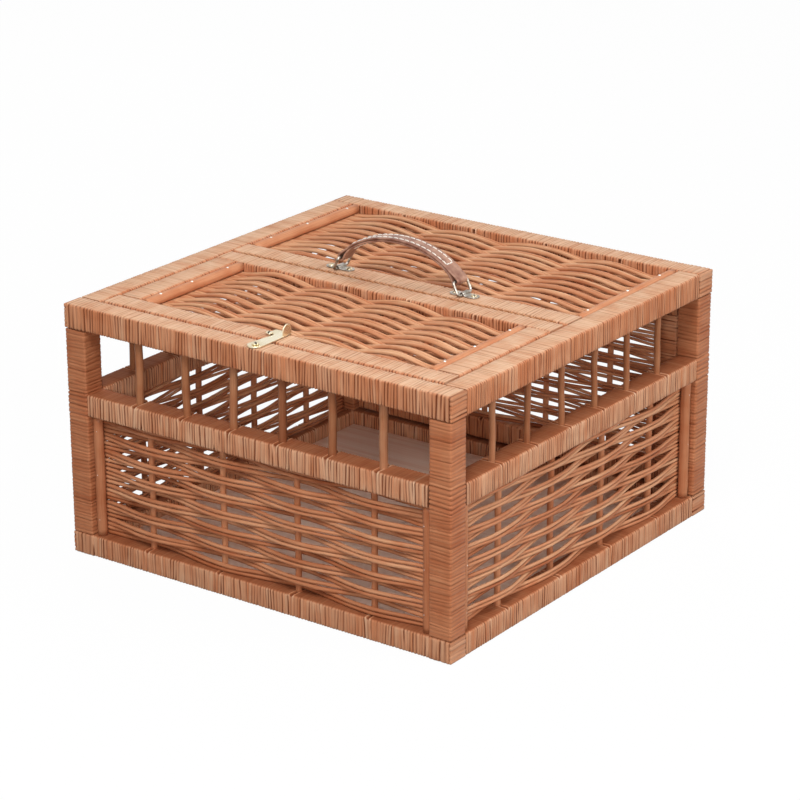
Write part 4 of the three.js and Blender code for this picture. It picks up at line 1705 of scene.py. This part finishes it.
    def ring(self, side: int) -> Surface:
        """Makes a ring of round wire: a rounded rectangle that leans in from its foot.

        Args:
            side: 0 for left, 1 for right.

        Returns:
            The surface.
        """
        wide = self.strap_wide + 2.0 * self.strap_side + self.wire
        line, _ = rounded_section(wide, self.ring_tall, self.ring_corner, 6, 6)
        lean = np.radians(self.ring_lean) * (1.0 - 2.0 * side)
        rise = np.array([np.sin(lean), 0.0, np.cos(lean)])
        foot = self.feet[side] + self.wire / 2 * Z
        path = foot + line[:, :1] * Y + (line[:, 1:] + self.ring_tall / 2) * rise
        return round_bar(path, self.wire / 2, 12, np.cross(Y, rise), closed=True)

    def plate(self, side: int) -> Surface:
        """Makes a plate with round ends and a raised bridge over the ring's wire.

        The strip lies flat, rises over half a circle with small fillets at its feet, and lies flat again.
        Its half width follows a half circle at each end.

        Args:
            side: 0 for left, 1 for right.

        Returns:
            The surface.
        """
        half = self.plate_long / 2
        half_wide = self.plate_wide / 2
        mid = self.plate_thick / 2
        crown = self.wire / 2 + FIT + mid
        turn = np.linspace(np.pi, 0.0, 15)
        end = np.sin(np.linspace(np.pi / 2 - self.plate_blunt, 0.0, 7))
        flat_x = np.linspace(half - self.plate_end, crown + self.bridge_foot, 4)
        wing_x = np.concatenate([half - half_wide * (1.0 - end), flat_x])
        wing_half = np.concatenate([half_wide * np.sqrt(1.0 - end**2), np.full_like(flat_x, half_wide)])
        wing_z = np.full_like(wing_x, mid)
        bridge_z = np.maximum(self.wire / 2 + FIT + crown * np.sin(turn), mid + self.bridge_fillet)
        x = np.concatenate([-wing_x, crown * np.cos(turn), wing_x[::-1]])
        z = np.concatenate([wing_z, bridge_z, wing_z[::-1]])
        wide = np.concatenate([wing_half, np.full_like(turn, half_wide), wing_half[::-1]])
        path = self.feet[side] + x[:, None] * X + z[:, None] * Z
        return strip(path, Y, wide, self.plate_thick)

    def plate_screws(self, side: int) -> Surface:
        """Makes the two slotted screws of one plate."""
        slot, deep = self.plate_slot, self.plate_slot_deep
        head = slotted_head(self.plate_screw, self.plate_screw_tall, slot, deep)
        reach = self.plate_long / 2 - self.plate_screw_inset
        top = self.plate_thick - self.plate_screw_sunk
        heads = []
        for i, x in enumerate((-reach, reach)):
            basis = turned_basis(TOP_BASIS, self.plate_slot_turns[2 * side + i])
            heads.append(head.moved(basis, self.feet[side] + x * X + top * Z))
        return joined(heads)

    def build(self) -> list[Piece]:
        """Builds the strap, its stitches, the rings, the plates and their screws.

        Returns:
            The pieces.
        """
        pieces = [
            Piece("leather_handle_strap", self.leather(), STRAP, ("handle_strap",)),
            Piece("thread_handle_stitches", self.stitches(), THREAD, body="strap", slot="leather"),
        ]
        for i, side in enumerate(("left", "right")):
            plate = "handle_plate_" + side
            ring = "handle_ring_" + side
            pieces.append(Piece("wire_" + ring, self.ring(i), NICKEL, (ring,)))
            pieces.append(Piece("nickel_" + plate, self.plate(i), NICKEL, (plate,)))
            screws = self.plate_screws(i)
            pieces.append(Piece(f"brass_{plate}_screws", screws, BRASS, body="basket", slot="brass"))
        return pieces


# Studio


@dataclass(frozen=True)
class Softbox:
    """A round lamp that is turned to the basket."""

    name: str
    azimuth: float  # degrees to the right of the front
    elevation: float
    distance: float  # metres
    size: float  # metres
    watts: float
    mirrored: bool = True  # whether metal shows it


def axes_toward(azimuth: float, elevation: float) -> tuple[Array, Array, Array]:
    """Gives the right, up and back axes of what looks in from an azimuth and elevation in degrees."""
    turn, lift = np.radians([azimuth, elevation])
    back = np.array([np.sin(turn) * np.cos(lift), -np.cos(turn) * np.cos(lift), np.sin(lift)])
    right = unit(np.cross(Z, back))
    return right, np.cross(back, right), back


def hang(thing: bpy.types.Object, right: Array, up: Array, back: Array, place: Array) -> None:
    """Adds a camera or lamp to the scene by its axes and its place in metres."""
    matrix = np.eye(4)
    matrix[:3] = np.stack([right, up, back, place], axis=1)
    thing.matrix_world = Matrix(matrix.tolist())
    bpy.context.scene.collection.objects.link(thing)


@dataclass
class Studio:
    """Pale floor, soft light and a camera at the photograph's angle."""

    azimuth: float = 35.92  # degrees to the right of the front
    elevation: float = 20.29
    roll: float = -0.21
    distance: float = 3169.0
    aim: tuple[float, float, float] = (0.0, 0.0, 142.25)
    shift_right: float = 6.4
    shift_up: float = 10.6
    lens: float = 130.76
    sensor: float = 36.0
    sky: float = 0.1  # diffuse light from all round
    floor_size: float = 16.0  # metres
    floor_glow: float = 0.97  # share of the floor that is plain white to the camera
    # Metal doesn't show the lamp at the back, which it would mirror at the camera
    lamps: tuple[Softbox, ...] = (
        Softbox("front_softbox", 20.0, 54.0, 3.0, 1.4, 48.0),
        Softbox("side_softbox", 100.0, 32.0, 3.2, 1.2, 44.0),
        Softbox("low_softbox", 34.0, 21.5, 3.2, 0.5, 30.0),
        Softbox("overhead_softbox", 120.0, 76.0, 2.6, 1.6, 3.0),
        Softbox("back_softbox", 225.0, 36.0, 3.2, 1.4, 26.0, mirrored=False),
    )

    def camera(self) -> None:
        """Sets up the camera from its angles: its back axis from azimuth and elevation, then the roll."""
        roll = np.radians(self.roll)
        level, upright, back = axes_toward(self.azimuth, self.elevation)
        right = level * np.cos(roll) + upright * np.sin(roll)
        up = upright * np.cos(roll) - level * np.sin(roll)
        eye = np.array(self.aim) + self.shift_right * right + self.shift_up * up + self.distance * back
        view = bpy.data.cameras.new("photo_view")
        view.lens = self.lens
        view.sensor_width = self.sensor
        view.clip_end = 100.0
        camera = bpy.data.objects.new("photo_view", view)
        hang(camera, right, up, back, eye * MM)
        bpy.context.scene.camera = camera

    @staticmethod
    def seen_directly(tree: Tree) -> Socket:
        """Gives 1 for rays from the camera, mirrors and glass, and 0 for the rest."""
        rays = add_node(tree, "LightPath").node.outputs
        pair = {0: rays["Is Glossy Ray"], 1: rays["Is Transmission Ray"]}
        mirrored = add_node(tree, "Math", pair, operation="MAXIMUM")
        pair = {0: rays["Is Camera Ray"], 1: mirrored}
        return add_node(tree, "Math", pair, operation="MAXIMUM")

    def world(self) -> None:
        """Makes a white world that lights the basket at the sky's level."""
        world = bpy.data.worlds.new("white_studio")
        bpy.context.scene.world = world
        world.use_nodes = True
        tree = world.node_tree
        tree.nodes.clear()
        white = linear("#ffffff")
        light = add_node(tree, "Background", {"Color": white, "Strength": self.sky})
        seen = add_node(tree, "Background", {"Color": white, "Strength": 1.0})
        both = add_node(tree, "MixShader", {0: self.seen_directly(tree), 1: light, 2: seen})
        add_node(tree, "OutputWorld", {"Surface": both})

    def floor(self) -> None:
        """Makes the floor: a plain pale sheet that looks white and keeps a soft shadow."""
        half = self.floor_size / 2
        mesh = bpy.data.meshes.new("studio_floor")
        corners = [(-half, -half, 0.0), (half, -half, 0.0), (half, half, 0.0), (-half, half, 0.0)]
        mesh.from_pydata(corners, [], [(0, 1, 2, 3)])
        floor = bpy.data.objects.new("studio_floor", mesh)
        bpy.context.scene.collection.objects.link(floor)
        material, tree = new_tree("white_paper_floor")
        grey = add_node(tree, "BsdfDiffuse", {"Color": linear("#8c8c8c")})
        paper = add_node(tree, "BsdfDiffuse", {"Color": linear("#f8f8f8")})
        glow = add_node(tree, "Emission", {"Color": linear("#ffffff"), "Strength": 1.0})
        white = add_node(tree, "MixShader", {0: self.floor_glow, 1: paper, 2: glow})
        both = add_node(tree, "MixShader", {0: self.seen_directly(tree), 1: grey, 2: white})
        add_node(tree, "OutputMaterial", {"Surface": both})
        mesh.materials.append(material)

    def softboxes(self) -> None:
        """Hangs the round softboxes, each turned to the basket."""
        for lamp in self.lamps:
            light = bpy.data.lights.new(lamp.name, "AREA")
            light.shape = "DISK"
            light.size = lamp.size
            light.energy = lamp.watts
            thing = bpy.data.objects.new(lamp.name, light)
            thing.visible_glossy = lamp.mirrored
            right, up, back = axes_toward(lamp.azimuth, lamp.elevation)
            hang(thing, right, up, back, lamp.distance * back)

    def build(self) -> None:
        """Builds the studio."""
        bpy.context.scene.view_settings.view_transform = "Standard"
        self.camera()
        self.world()
        self.floor()
        self.softboxes()


def main() -> None:
    """Builds the studio and every piece of the basket."""
    logging.basicConfig(level=logging.INFO, format="%(name)s: %(message)s")
    Studio().build()
    panels = Panels()
    assemblies = (
        BasketFrame(panels),
        panels,
        FloorBoard(),
        Lid(panels.lid),
        Door(panels.door),
        TurningHook("lid_hook", TOP_BASIS, "top_rail_front"),
        TurningHook("door_hook", np.array([X, -Z, Y]), "top_rail_back"),
        Handle(),
    )
    for assembly in assemblies:
        for piece in assembly.build():
            piece.place()


if __name__ == "__main__":
    main()
